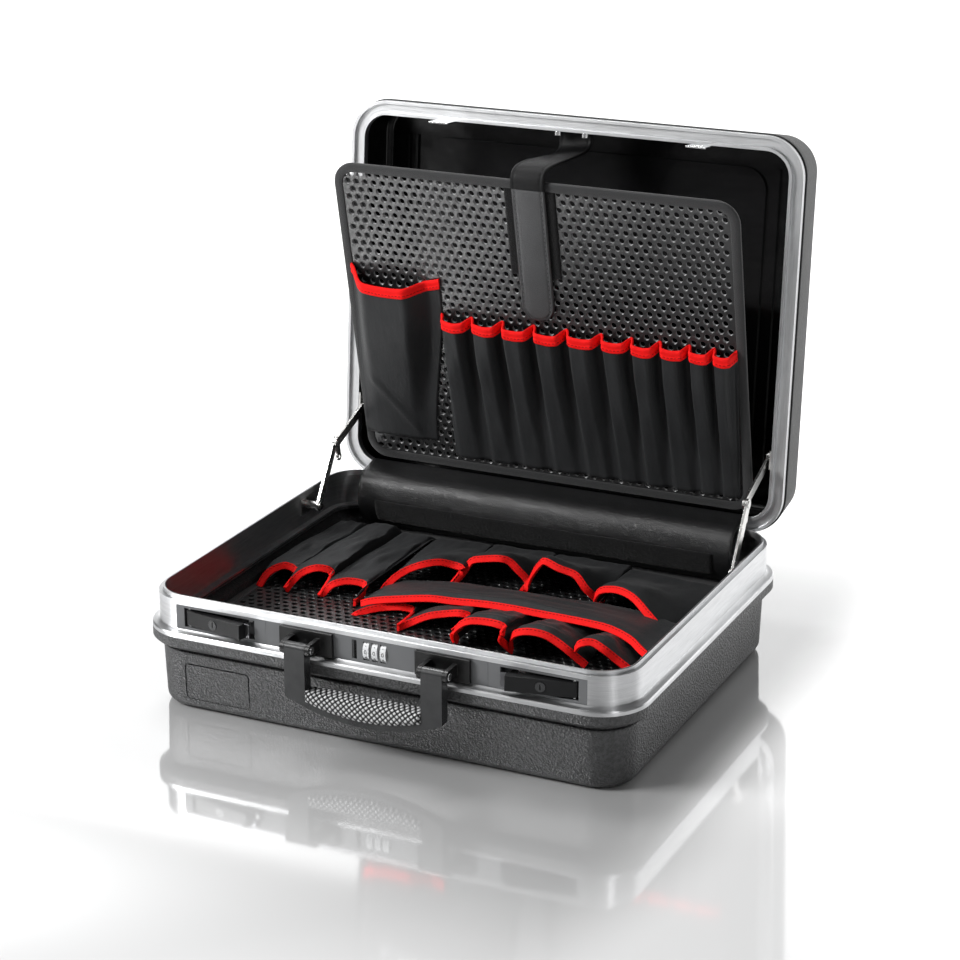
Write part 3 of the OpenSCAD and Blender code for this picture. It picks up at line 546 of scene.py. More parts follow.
def add_piece(name, points, faces, finish, smooth=True, run=None):
    """A mesh piece. Points are in mm, and run is a place on the cloth for each point."""
    mesh = bpy.data.meshes.new(name)
    mesh.from_pydata([Vector(point) * MM for point in points], [], faces)
    if run:
        layer = mesh.attributes.new("run", "FLOAT_VECTOR", "POINT")
        layer.data.foreach_set("vector", [value for place in run for value in (*place, 0)[:3]])
    mesh.validate()
    mesh.update()
    for polygon in mesh.polygons:
        polygon.use_smooth = smooth
    mesh.materials.append(finish.material)
    return put(name, mesh)


def thicken(piece, thickness, offset=0.0, round_edge=0):
    solid = piece.modifiers.new("thickness", "SOLIDIFY")
    solid.thickness, solid.offset = thickness * MM, offset
    if round_edge:
        soften = piece.modifiers.new("edge", "BEVEL")
        soften.width, soften.segments, soften.limit_method = round_edge * MM, 2, "ANGLE"


def lid_board_point(x, s, n):
    """A place on the lid board: x across, s up the board, n out of its front, in mm."""
    return Vector((x, BOARD_FOOT_Y - LEAN_SIN * s - LEAN_COS * n,
                   BOARD_FOOT_Z + LEAN_COS * s - LEAN_SIN * n))


def on_lid_board(x, y, level):
    """The same, from the middle of the board."""
    return lid_board_point(x, y + BOARD_L / 2, level)


def rounded_inset(x, y, half_w, half_d, radius):
    """How far a place lies inside a rounded rectangle about the origin."""
    across, along = abs(x) - (half_w - radius), abs(y) - (half_d - radius)
    corner = hypot(max(across, 0), max(along, 0)) + min(max(across, along), 0)
    return radius - corner


def perforated(half_w, half_d, radius, shift, keep):
    """A net of hexagonal cells, each with a round hole whose front edge is eased.

    The outermost cells, under the edge tape, stay whole.
    """
    points, faces, known = [], [], {}

    def corner(x, y, level):
        x = min(max(x, 1.5 - half_w), half_w - 1.5)
        y = min(max(y, 1.5 - half_d), half_d - 1.5)
        key = (round(x, 2), round(y, 2), level)
        if key not in known:
            known[key] = len(points)
            points.append((x, y, level))
        return known[key]

    row_step = PITCH * sqrt(3) / 2
    rows, columns = int(half_d / row_step) + 2, int(half_w / PITCH) + 2
    out = PITCH / sqrt(3)
    for row in range(-rows, rows + 1):
        for column in range(-columns, columns + 1):
            x, y = (column + (row % 2) / 2) * PITCH, row * row_step + shift
            inset = rounded_inset(x, y, half_w, half_d, radius)
            straight = abs(x) < half_w - radius or abs(y) < half_d - radius
            if inset < (1.5 if straight else 5.4) or not keep(x, y):
                continue
            open_cell = inset > 9.6 and half_w - abs(x) > 12.5
            levels = [(NET_HALF, None), (NET_HALF, HOLE + 0.45), (0.85, HOLE), (-NET_HALF, HOLE), (-NET_HALF, None)]
            rings = []
            for level, hole in levels if open_cell else (levels[0], levels[-1]):
                ring = []
                for k in range(12):
                    angle = radians(30 * k + 30)
                    reach = hole or (out if k % 2 == 0 else PITCH / 2)
                    ring.append(corner(x + reach * cos(angle), y + reach * sin(angle), level))
                rings.append(ring)
            if not open_cell:
                faces.append(tuple(dict.fromkeys(rings[0])))
                faces.append(tuple(reversed(dict.fromkeys(rings[1]))))
                continue
            for first, second in zip(rings, rings[1:]):
                for k in range(12):
                    m = (k + 1) % 12
                    faces.append((first[k], first[m], second[m], second[k]))
    return points, [face for face in faces if len(set(face)) > 2]


def outline_points(half_w, half_d, radius, inset=0, steps=8):
    """Points round a rounded rectangle about the origin, with the way outwards."""
    made = []
    for k, (sx, sy) in enumerate(((1, 1), (-1, 1), (-1, -1), (1, -1))):
        for step in range(steps + 1):
            angle = radians(90 * k + 90 * step / steps)
            way = (cos(angle), sin(angle))
            made.append(((sx * (half_w - radius) + (radius - inset) * way[0],
                          sy * (half_d - radius) + (radius - inset) * way[1]), way))
    return made


def swept(rows, closed_run):
    """Faces that join rows of points, each row a closed section, capped at open ends."""
    count, size = len(rows), len(rows[0])
    points = [point for row in rows for point in row]
    faces = []
    for i in range(count if closed_run else count - 1):
        j = (i + 1) % count
        for k in range(size):
            m = (k + 1) % size
            faces.append((i * size + k, i * size + m, j * size + m, j * size + k))
    if not closed_run:
        faces.append(tuple(range(size)))
        faces.append(tuple(reversed(range((count - 1) * size, count * size))))
    return points, faces


board_plastic = Finish("perforated_board", Specular_IOR_Level=0.85)
spot = board_plastic.place()
leather = board_plastic.cells(spot, 1.6, "DISTANCE_TO_EDGE")
fine = board_plastic.grain(spot, 0.5, 2)
cloud = board_plastic.grain(spot, 70, 3)
board_plastic.feed(
    Base_Color=board_plastic.mix(cloud, (0.006, 0.0062, 0.0066), (0.012, 0.0123, 0.0128)),
    Roughness=0.24 + 0.10 * cloud,
    Normal=board_plastic.relief(leather.rising(0, 0.25) * 0.6 + fine * 0.4, 0.12),
)
# A light grey for the walls of the lid board's holes: a painted highlight inside the holes.
painted_light_hole_walls = clouded("hole_walls_painted_light", (0.16, 0.162, 0.165), (0.30, 0.303, 0.308), (5, 2), (0.36, 0.10),
                  Specular_IOR_Level=1.0)


def show_holes(net, front):
    """Paints the walls of a board's holes lighter than the board: a painted highlight inside the holes."""
    net.data.materials.append(painted_light_hole_walls.material)
    for polygon in net.data.polygons:
        polygon.material_index = int(abs(polygon.normal.dot(Vector(front))) < 0.3)


tape = Finish("edge_tape", Specular_IOR_Level=0.35, Sheen_Weight=0.15)
spot = tape.place()
weave_x, _, weave_z = tape.axes(spot)
ribs = abs(((weave_x + weave_z) * (pi / 0.0011)).sine())
tape.feed(
    Base_Color=tape.mix(ribs, (0.006, 0.006, 0.0065), (0.022, 0.0225, 0.0235)),
    Roughness=0.55 + 0.15 * ribs,
    Normal=tape.relief(ribs * 0.7 + tape.grain(spot, 0.7, 2) * 0.5, 0.22),
)

net, cells = perforated(BOARD_W / 2, BOARD_L / 2, BOARD_R, 5.6, lambda x, y: True)
lid_net = add_piece("lid_board_net", [on_lid_board(*place) for place in net], cells, board_plastic, smooth=False)
show_holes(lid_net, (0, -LEAN_COS, -LEAN_SIN))
belongs(lid_net, "lid_board_body", "board", "lid_board")
edge_section = [(-0.2, -1.5), (0.0, 0.0), (-0.2, 1.5), (-1.0, 2.1), (-8.2, 2.1), (-9.0, 1.4),
                (-9.0, -1.4), (-8.2, -2.1), (-1.0, -2.1)]
margin_section = [(-2, -1.0), (-2, 1.0), (-7.5, 1.0), (-7.5, -1.0)]


def follow(outline, section, place):
    """Rows of a section along an outline. place puts x, y and height on the board."""
    return [[place(x + way[0] * a, y + way[1] * a, b) for a, b in section] for (x, y), way in outline]


lid_path = outline_points(BOARD_W / 2, BOARD_L / 2, BOARD_R)
points, faces = swept(follow(lid_path, edge_section, on_lid_board), True)
lid_edge = belongs(add_piece("lid_board_edge", points, faces, tape), "lid_board_body", "board")
sharpen(lid_edge.data, 50)
points, faces = swept(follow(lid_path, margin_section, on_lid_board), True)
belongs(add_piece("lid_board_margin", points, faces, board_plastic, smooth=False), "lid_board_body", "board")
# A strip of tape behind the left edge closes the outer columns of holes.
back_section = ((-202, -1.4), (-174, -1.4), (-174, -1.9), (-202, -1.9))
points, faces = swept([[lid_board_point(x, s, n) for x, n in back_section] for s in (14, 110, 208, 308)], False)
belongs(add_piece("lid_board_back_tape", points, faces, tape, smooth=False), "lid_board_body", "board")


# ---- Lid pockets ----
# Coated polyester cloth sewn to the board at its seams and fuller at the mouth
# than at the bottom: one large pocket and ten narrow ones, with red bindings.
def pocket_cloth(name):
    finish = Finish(name, Specular_IOR_Level=0.16, Sheen_Weight=0.05, Sheen_Roughness=0.35)
    spot = finish.place()
    x, y, z = finish.axes(spot)
    threads = (abs((x * (pi / 0.0009)).sine()) + abs(((y + z) * (pi / 0.0009)).sine())) * 0.5
    crease = finish.grain(finish.vector(x, y * 0.6, z * 0.35), 16, 4, 0.6)
    worn = finish.grain(spot, 40, 3)
    finish.feed(
        Base_Color=finish.mix(worn * 0.5 + threads * 0.5, (0.010, 0.0103, 0.0109), (0.029, 0.030, 0.0313)),
        Roughness=0.40 + 0.14 * worn,
        Normal=finish.relief(threads * 0.10 + crease * 0.9, 1.1),
    )
    return finish


def red_tape(name):
    """Ribbed red binding with a line of stitches; needs the run attribute."""
    finish = Finish(name, Specular_IOR_Level=0.15)
    place = finish.node("ShaderNodeAttribute", {"attribute_name": "run"}, output="Vector")
    along, across, _ = finish.axes(place)
    ribs = abs((along * (pi / 0.9)).sine())
    beat = (along % 3.6) - 0.5
    stitch = (beat.rising(0, 0.35) * (1 - beat.rising(2.1, 2.5))) * (1 - abs(across - 6.6).rising(0.25, 0.55))
    shade = finish.grain(finish.place(), 7, 3)
    red = finish.mix(shade, (0.70, 0.004, 0.004), (0.90, 0.008, 0.007))
    finish.feed(
        Base_Color=finish.mix(stitch * 0.8, red, (0.16, 0.001, 0.001)),
        Roughness=0.62 + 0.15 * ribs,
        Normal=finish.relief(ribs * 0.25 + stitch * 0.5 + shade * 0.4, 0.5),
    )
    return finish


cloth = pocket_cloth("pocket_cloth")
binding = red_tape("red_binding")


def ease(value, low, high):
    """0 below low, 1 above high, smooth between."""
    t = min(max((value - low) / (high - low), 0), 1)
    return t * t * (3 - 2 * t)


def drift(x, y, z):
    """Smooth noise between about -1 and 1."""
    return noise.noise(Vector((x, y, z)))


def along_list(values, t):
    """Value at t, counted in steps of the list, joined by a smooth curve."""
    i = min(max(int(t), 0), len(values) - 2)
    f = t - i
    before, first, second, after = (values[max(i - 1, 0)], values[i], values[i + 1],
                                    values[min(i + 2, len(values) - 1)])
    return first + 0.5 * f * ((second - before) + f * (2 * before - 5 * first + 4 * second - after
                                                       + f * (3 * (first - second) + after - before)))


def smooth_path(places, steps):
    """The smooth curve through places, with steps points from each to the next."""
    return [tuple(along_list([place[axis] for place in places], t / steps) for axis in range(len(places[0])))
            for t in range(steps * (len(places) - 1) + 1)]


def grid_faces(rows, columns):
    return [(i * columns + k, i * columns + k + 1, (i + 1) * columns + k + 1, (i + 1) * columns + k)
            for i in range(rows - 1) for k in range(columns - 1)]


seam_top = (-104.7, -72.7, -40.1, -7.2, 26.4, 62.0, 92.7, 121.0, 150.5, 174.9, 196.9)
seam_low = (-106.0, -68.0, -35.0, -1.0, 34.0, 68.5, 96.0, 124.0, 153.0, 175.0, 193.0)
FOLDS, ROWS = 26, 44
ROW_TOP, ROW_LOW, ROW_FULL = 173.0, 15.0, 13.5


def narrow_pocket_point(index, u, v, lift=0.0):
    """A place on the row of narrow pockets: pocket index, u across it, v up it."""
    left = seam_low[index] + (seam_top[index] - seam_low[index]) * v
    right = seam_low[index + 1] + (seam_top[index + 1] - seam_low[index + 1]) * v
    wave = drift(index * 3.7, v * 2.3, 0.4)
    full = ROW_FULL * (0.20 + 0.80 * ease(v, 0.0, 0.85)) * (0.94 + 0.14 * wave)
    flank = 0.86 + 0.05 * wave
    at_mouth = ease(v, 0.90, 0.985)
    low_arch = ease(u, 0, 0.16) * (1 - ease(u, 0.62, 0.9))
    open_arch = ease(u, 0.0, 0.13) * (1 - ease(u, flank - 0.30, flank))
    mouth_arch = ease(u, 0.02, 0.15) * (1 - ease(u, 0.80, 0.98))
    bulge = low_arch + (open_arch - low_arch) * ease(v, 0.0, 0.50)
    bulge += (mouth_arch - bulge) * at_mouth
    bulge *= 0.92 + 0.08 * sin(pi * u)
    crease = 1.5 * drift(index * 5.1 + u * 2.6, v * 4.5, 1.3) * bulge * (0.5 + 0.5 * v)
    sag = 2.4 * sin(pi * u) * v
    x = left + (right - left) * (u + 0.05 * bulge * (1 - u))
    s = ROW_LOW + (ROW_TOP - ROW_LOW) * v - sag
    return x, s, 1.9 + full * bulge + crease + lift


POCKETS = len(seam_top) - 1
columns = [(index, step / FOLDS) for index in range(POCKETS) for step in range(FOLDS)] + [(POCKETS - 1, 1.0)]
points = [lid_board_point(*narrow_pocket_point(index, u, row / (ROWS - 1)))
          for row in range(ROWS) for index, u in columns]
lid_row = add_piece("lid_narrow_cloth", points, grid_faces(ROWS, len(columns)), cloth)
thicken(lid_row, 0.9)
belongs(lid_row, "lid_board_body", "pocket_vinyl", "lid_narrow_pockets")

bind_section = [(-0.9, 0.4), (0.2, 1.0), (1.2, 0.4), (1.7, -1.2), (1.7, -3.6), (1.15, -4.9),
                (1.7, -6.2), (1.7, -8.4), (1.0, -9.8), (-0.9, -9.6)]


def ways(path):
    """The direction of a path at each of its places."""
    ends = [path[0], *path, path[-1]]
    return [(Vector(after) - Vector(before)).normalized() for before, after in zip(ends, ends[2:])]


def bind(name, rows, run):
    """Red tape from its section in rows along a mouth."""
    points, faces = swept(rows, False)
    piece = add_piece(name, points, faces, binding, run=run)
    sharpen(piece.data, 60)
    return piece


def lid_binding(name, path, point_at):
    """Red tape along a mouth. point_at gives x, s and n of the cloth's upper edge."""
    edge = [point_at(where) for where in path]
    over = [(x, n) for x, _, n in edge]
    rows, run, gone = [], [], 0.0
    for i, ((x, s, n), way) in enumerate(zip(edge, ways(over))):
        gone += dist(over[i], over[max(i - 1, 0)])
        rows.append([lid_board_point(x - way.y * a, s + b, max(n + way.x * a, 1.9)) for a, b in bind_section])
        run += [(gone, -b) for _, b in bind_section]
    return belongs(bind(name, rows, run), "lid_board_body", "pocket_vinyl")


row_binding = lid_binding("lid_row_binding", columns, lambda where: narrow_pocket_point(*where, 1.0, 0.5))

LARGE_TOP, LARGE_LOW, LARGE_FULL = 210.0, 29.0, 18.0


def large_pocket_point(u, v, lift=0.0):
    left = -204.0 + 7.0 * v
    right = -124.0 + 20.5 * ease(v, 0.0, 0.9)
    full = LARGE_FULL * (0.10 + 0.90 * ease(v, 0.0, 0.8))
    flank = 0.70 - 0.06 * v
    bulge = ease(u, 0, 0.22) ** 0.8 * (1 - ease(u, flank, flank + 0.22))
    bulge += 0.12 * sin(pi * u) * (1 - v)
    # One long crease runs from the left edge down to the right.
    crease_line = v - (0.46 - 0.52 * u)
    crease = 2.2 * exp(-((crease_line / 0.028) ** 2)) * ease(u, 0.1, 0.25) * (1 - ease(u, 0.72, 0.9))
    soft = 0.8 * drift(u * 2.5, v * 4.0, 7.0)
    sag = (7.0 * sin(pi * u) ** 0.8 - 6.0 * (1 - ease(u, 0.0, 0.14))) * ease(v, 0.5, 1.0)
    return (left + (right - left) * u, LARGE_LOW + (LARGE_TOP - LARGE_LOW) * v - sag,
            2.0 + full * bulge + (crease + soft) * bulge + lift)


WIDE, TALL = 40, 60
points = [lid_board_point(*large_pocket_point(k / (WIDE - 1), row / (TALL - 1)))
          for row in range(TALL) for k in range(WIDE)]
lid_large = add_piece("lid_large_cloth", points, grid_faces(TALL, WIDE), cloth)
thicken(lid_large, 0.9)
belongs(lid_large, "lid_board_body", "pocket_vinyl", "lid_large_pocket")
large_binding = lid_binding("lid_large_binding", [k / 47 for k in range(48)],
                            lambda u: large_pocket_point(u, 1.0, 0.9))


# ---- Strap ----
# Grained vinyl strap with a stitched edge and a rounded end. It is riveted to the
# lid frame, bends over the board's upper edge and holds on a band of pile.
def grained_vinyl(name, low, high, rough):
    finish = Finish(name, Specular_IOR_Level=0.5)
    spot = finish.place()
    wrinkle = finish.cells(spot, 1.3, "DISTANCE_TO_EDGE").rising(0, 0.22)
    soft = finish.grain(spot, 22, 3)
    finish.feed(
        Base_Color=finish.mix(soft, low, high),
        Roughness=rough + 0.12 * soft,
        Normal=finish.relief(wrinkle * 0.16 + soft * 0.5, 0.7),
    )
    return finish


def finished_edge(vinyl, margin):
    """Darkens the cut edge, and paints shade into the groove that the stitches lie in."""
    groove = 1 - abs(margin - 3.6).rising(0.35, 0.95)
    edge = 1 - margin.rising(0.5, 1.6)
    socket = vinyl.shader.inputs["Base Color"]
    colour = Wire(vinyl, socket.links[0].from_socket)
    vinyl.feed(Base_Color=vinyl.mix(groove * 0.7 + edge, colour, (0.004, 0.004, 0.0042)))


def pile(name):
    """Short, dense loops of black yarn."""
    finish = Finish(name, Specular_IOR_Level=0.1, Sheen_Weight=0.10, Sheen_Roughness=0.5)
    spot = finish.place()
    tuft = finish.grain(spot, 1.5, 4, 0.7)
    finish.feed(
        Base_Color=finish.mix(tuft, (0.001, 0.001, 0.001), (0.011, 0.011, 0.0115)),
        Roughness=0.85 + 0.1 * tuft,
        Normal=finish.relief(tuft, 1.4),
    )
    return finish


strap_vinyl = grained_vinyl("strap_vinyl", (0.026, 0.0265, 0.0275), (0.042, 0.043, 0.045), 0.30)
strap_run = strap_vinyl.node("ShaderNodeAttribute", {"attribute_name": "run"}, output="Vector")
finished_edge(strap_vinyl, strap_vinyl.axes(strap_run)[1])
# The loose end's vinyl is a much darker copy of the strap's: painted shade on the loose end.
painted_shade_end_vinyl = grained_vinyl("strap_end_painted_shade_vinyl", (0.003, 0.003, 0.0032), (0.008, 0.008, 0.0084), 0.42)
painted_shade_end_vinyl.feed(Specular_IOR_Level=0.15)
loops = pile("pile_fabric")
STRAP_HALF, STRAP_END = 17.0, 196.4


def strap_outline(t):
    """Half width of the strap at a distance t above its rounded end."""
    if t >= STRAP_HALF:
        return STRAP_HALF
    return sqrt(max(STRAP_HALF ** 2 - (STRAP_HALF - t) ** 2, 0.0))


def slab_faces(rows, columns):
    """Faces of two grids of points, upper and lower, and of the rim that joins them."""
    layer = rows * columns
    grid = grid_faces(rows, columns)
    faces = grid + [tuple(layer + k for k in reversed(face)) for face in grid]
    rim = list(range(columns)) + [row * columns + columns - 1 for row in range(1, rows)]
    rim += [(rows - 1) * columns + k for k in reversed(range(columns - 1))]
    rim += [row * columns for row in reversed(range(1, rows - 1))]
    for first, second in zip(rim, rim[1:] + rim[:1]):
        faces.append((second, first, layer + first, layer + second))
    return faces


# Across the strap: a rolled edge, a stitch groove, and a slightly crowned middle.
strap_across = (-1.0, -0.93, -0.86, -0.80, -0.74, -0.62, -0.3, 0.0, 0.3, 0.62, 0.74, 0.80, 0.86, 0.93, 1.0)
strap_crown = (0.4, 1.25, 1.5, 0.75, 1.35, 1.55, 1.75, 1.8, 1.75, 1.55, 1.35, 0.75, 1.5, 1.25, 0.4)
strap_low = STRAP_END - STRAP_HALF
strap_rows = [strap_low + d for d in (0.25, 0.8, 1.7, 3.0, 4.6, 6.6, 9.0, 11.6, 14.2, 17.0)]
strap_rows += [strap_low + 17 + 4 * k for k in range(1, 31)]
points, run = [], []
for s in strap_rows:
    half = strap_outline(s - strap_low)
    rise_end = ease(s - strap_low, 0, 3.0)
    for across, crown in zip(strap_across, strap_crown):
        points.append(lid_board_point(across * half, s, 4.6 + crown * (0.4 + 0.6 * rise_end)))
        run.append((s, STRAP_HALF - hypot(across * half, max(STRAP_END - s, 0))))
points += [lid_board_point(across * strap_outline(s - strap_low), s, 3.7)
           for s in strap_rows for across in strap_across]
run += [(s, 0.0) for s in strap_rows for _ in strap_across]
strap = add_piece("strap_front", points, slab_faces(len(strap_rows), len(strap_across)), strap_vinyl, run=run)
belongs(strap, "lid_board_body", "vinyl", "strap")

thread = clouded("grey_thread", (0.05, 0.05, 0.052), (0.12, 0.12, 0.124), (0.8, 2), Roughness=0.6)


def stitches(name, path, length=3.2, gap=1.3, radius=0.42):
    """A row of separate stitches along a path of places in mm."""
    points, faces = [], []
    marks = [path[0]]
    for first, second in zip(path, path[1:]):
        steps = max(int((second - first).length / 0.25), 1)
        marks += [first.lerp(second, (k + 1) / steps) for k in range(steps)]
    dash, dashes, travelled = [marks[0]], [], 0.0
    for first, second in zip(marks, marks[1:]):
        travelled += (second - first).length
        phase = travelled % (length + gap)
        if phase < length:
            dash.append(second)
            continue
        if len(dash) > 3:
            dashes.append(dash)
        dash = []
    for dash in dashes:
        pick = [dash[0], dash[len(dash) // 3], dash[2 * len(dash) // 3], dash[-1]]
        way = (pick[-1] - pick[0]).normalized()
        side = way.orthogonal().normalized()
        other = way.cross(side)
        base = len(points)
        for i, place in enumerate(pick):
            size = radius * (0.55 if i in (0, 3) else 1.0)
            for k in range(6):
                angle = radians(60 * k)
                points.append(place + side * (size * cos(angle)) + other * (size * sin(angle)))
        for i in range(3):
            for k in range(6):
                m = (k + 1) % 6
                faces.append((base + i * 6 + k, base + i * 6 + m, base + i * 6 + 6 + m, base + i * 6 + 6 + k))
        faces.append(tuple(base + k for k in reversed(range(6))))
        faces.append(tuple(base + 18 + k for k in range(6)))
    return add_piece(name, points, faces, thread)


SEAM, SEAM_UP = STRAP_HALF - 3.6, 5.6
seam = [lid_board_point(-SEAM, 316 - 4 * k, SEAM_UP) for k in range(30)]
seam += [lid_board_point(-SEAM * cos(radians(a)), STRAP_END - SEAM * sin(radians(a)), SEAM_UP)
         for a in range(0, 181, 12)]
seam += [lid_board_point(SEAM, 200 + 4 * k, SEAM_UP) for k in range(30)]
strap_stitches = belongs(stitches("strap_stitches", seam), "lid_board_body", "vinyl")

# The loose end leaves the board's upper edge in a bend and runs back to two
# rivets on the lid frame. It is one with the strap, so the two are one sheet.
loop_path = [(127.1, 430.0), (126.4, 437.5), (128.4, 443.6), (133.8, 447.6), (143, 449.3), (158, 449.2),
             (178, 447.6), (199, 446.0), (219, 444.6), (232.5, 445.6), (238.5, 449.5), (240.4, 455.5),
             (240.8, 462.0)]
fine_path = smooth_path(loop_path, 5)
end_section = [(across, crown * 0.8 + 0.3) for across, crown in zip(strap_across, strap_crown)]
end_section += [(across, -1.0) for across in reversed(strap_across)]
rows = []
for (y, z), way in zip(fine_path, ways(fine_path)):
    out = Vector((0, -way.y, way.x))
    twist = 2.5 * ease(y, 150, 236) * (1 - ease(z, 450, 462))
    rows.append([Vector((across * STRAP_HALF, y, z + twist * across)) + out * lift for across, lift in end_section])
points, faces = swept(rows, False)
# Painted shade: the loose end takes the darker copy of the strap's vinyl.
strap_end = add_piece("strap_loose_end", points, faces, painted_shade_end_vinyl)
sharpen(strap_end.data, 70)
belongs(strap_end, None, "vinyl", "strap_loop")
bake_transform(strap_end)

BAND_ROWS, BAND_COLUMNS, BAND_HALF = 60, 42, 26
points = []
for upper in (True, False):
    for row in range(BAND_ROWS):
        for k in range(BAND_COLUMNS):
            x, s = -BAND_HALF + 2 * BAND_HALF * k / (BAND_COLUMNS - 1), 225 + 89 * row / (BAND_ROWS - 1)
            rim = ease(min(k, BAND_COLUMNS - 1 - k, row, BAND_ROWS - 1 - row), -0.5, 1.5)
            tuft = 0.45 * drift(x * 0.9, s * 0.9, 3.0)
            points.append(lid_board_point(x, s, 1.6 + (1.4 + tuft) * rim if upper else 1.45))
pile_band = add_piece("pile_band", points, slab_faces(BAND_ROWS, BAND_COLUMNS), loops)
belongs(pile_band, "lid_board_body", "loop_fabric", "hook_band")

for node in ("lid_strikers", "strap_rivets"):
    skin_of(node, polished, "steel", 0.35)

# ---- Base board ----
# A second perforated board, laid loose on the ledge in the base. Its edge is
# bound like the lid board's, and its pockets are sewn on.
BASE_HALF_W, BASE_HALF_D, BASE_MID, BASE_R = 223.0, 175.95, 0.45, 29.4
FLOOR_Z = 52.5


def clear_of_lock(x, y):
    return not (abs(x) < 46 and y + BASE_MID < -160)


def on_base_board(x, y, level):
    return x, y + BASE_MID, FLOOR_Z + max(level, -1.5)


net, cells = perforated(BASE_HALF_W, BASE_HALF_D, BASE_R, 0.0, clear_of_lock)
base_net = add_piece("base_board_net", [on_base_board(*place) for place in net], cells, board_plastic, smooth=False)
belongs(base_net, "base_board_body", "board", "base_board")

# The front run of the edge is left open at the notch for the lock's box.
NOTCH_HALF = 43.0
base_path = outline_points(BASE_HALF_W, BASE_HALF_D, BASE_R)
front_start = next(i for i, ((x, y), way) in enumerate(base_path) if i > 18 and x > 0 and y < 0)
opened_path = base_path[front_start:] + base_path[:front_start]
for name, section, finish in (("base_board_edge", edge_section, tape),
                              ("base_board_margin", margin_section, board_plastic)):
    rows = follow(opened_path, section, on_base_board)
    right_stop = [(NOTCH_HALF, y, z) for _, y, z in rows[0]]
    left_stop = [(-NOTCH_HALF, y, z) for _, y, z in rows[-1]]
    points, faces = swept([right_stop] + rows + [left_stop], False)
    belongs(add_piece(name, points, faces, finish, smooth=False), "base_board_body", "board")

# ---- Pockets of the base board ----
# The same cloth: three long sleeves at the left, a front row, one wide pocket
# across the middle and a rear row. Their mouths stand open in uneven arches.
BED = 54.2
mouths = {
    "sleeve_1": [(-214, -17, 54), (-210, -10, 64), (-203, -4, 70), (-195, 2, 72), (-187, 4, 69), (-184, 1, 66),
                 (-183, -11, 61), (-183, -20, 57)],
    "sleeve_2": [(-183, -20, 57), (-180, -10, 64), (-174, -3, 70), (-164, 3, 74), (-155, 8, 73), (-150, 10, 69),
                 (-149, 3, 63), (-149, -10, 57), (-149, -17, 54)],
    "sleeve_3": [(-149, -15, 54), (-145, -8, 60), (-139, -4, 65), (-129, 2, 67), (-118, 6, 66), (-112, 6, 64),
                 (-110, -3, 58), (-108, -24, 58)],
    "rear_1": [(-100, 18, 55), (-98, 24, 60), (-92, 31, 67), (-83, 39, 73), (-70, 46, 78), (-58, 55, 79),
               (-46, 63, 75), (-38, 63, 73), (-38, 60, 68), (-41, 52, 62), (-43, 47, 59)],
    "rear_2": [(-43, 50, 59), (-41, 63, 63), (-37, 71, 71), (-32, 74, 78), (-20, 76, 81), (-5, 78, 83), (3, 82, 80),
               (12, 83, 72), (20, 85, 63), (22, 79, 57), (22, 68, 56)],
    "rear_3": [(22, 70, 56), (25, 75, 63), (32, 74, 77), (40, 74, 88), (45, 73, 90), (58, 72, 86), (68, 74, 83),
               (76, 74, 80), (86, 72, 70), (94, 76, 61), (101, 78, 55), (100, 65, 56)],
    "rear_4": [(100, 62, 58), (102, 55, 68), (108, 53, 78), (120, 50, 83), (134, 45, 85), (150, 35, 84),
               (166, 26, 76), (180, 21, 66), (187, 17, 58)],
    "wide": [(-100, -25, 59), (-86, -24, 64), (-61, -22, 69), (-31, -20, 74), (-6, -19, 75), (24, -18, 77),
             (55, -19, 78), (86, -20, 78), (118, -23, 79), (149, -27, 79), (173, -35, 76), (189, -46, 72),
             (200, -55, 71)],
    "front_1": [(-99, -43, 52), (-95, -38, 55), (-86, -31, 58), (-74, -23, 59), (-60, -19, 60), (-50, -17, 58),
                (-45, -30, 58), (-44, -48, 58), (-44, -60, 58)],
    "front_2": [(-44, -57, 57), (-36, -48, 60), (-20, -42, 67), (-4, -37, 70), (8, -36, 72), (15, -34, 70),
                (17, -45, 69), (17, -58, 68), (14, -64, 64), (17, -64, 57)],
    "front_3": [(17, -62, 57), (19, -71, 68), (25, -74, 77), (34, -74, 83), (47, -73, 85), (62, -73, 85),
                (69, -73, 82), (69, -81, 76), (71, -73, 66), (72, -62, 57)],
    "front_4": [(72, -65, 59), (75, -72, 71), (81, -75, 80), (93, -75, 84), (107, -73, 83), (118, -71, 78),
                (129, -70, 71), (139, -65, 61), (144, -63, 56)],
    "front_5": [(136, -69, 72), (141, -70, 79), (151, -67, 81), (163, -67, 76), (173, -63, 67), (184, -61, 59)],
}


def even_curve(points, step=2.4):
    """The smooth curve through points, at even steps."""
    fine = [Vector(place) for place in smooth_path(points, 8)]
    lengths = [0.0]
    for first, second in zip(fine, fine[1:]):
        lengths.append(lengths[-1] + (second - first).length)
    count = max(int(lengths[-1] / step), 6)
    made, i = [], 0
    for k in range(count + 1):
        goal = lengths[-1] * k / count
        while i < len(fine) - 2 and lengths[i + 1] < goal:
            i += 1
        span = lengths[i + 1] - lengths[i] or 1
        made.append(fine[i].lerp(fine[i + 1], min((goal - lengths[i]) / span, 1)))
    return made


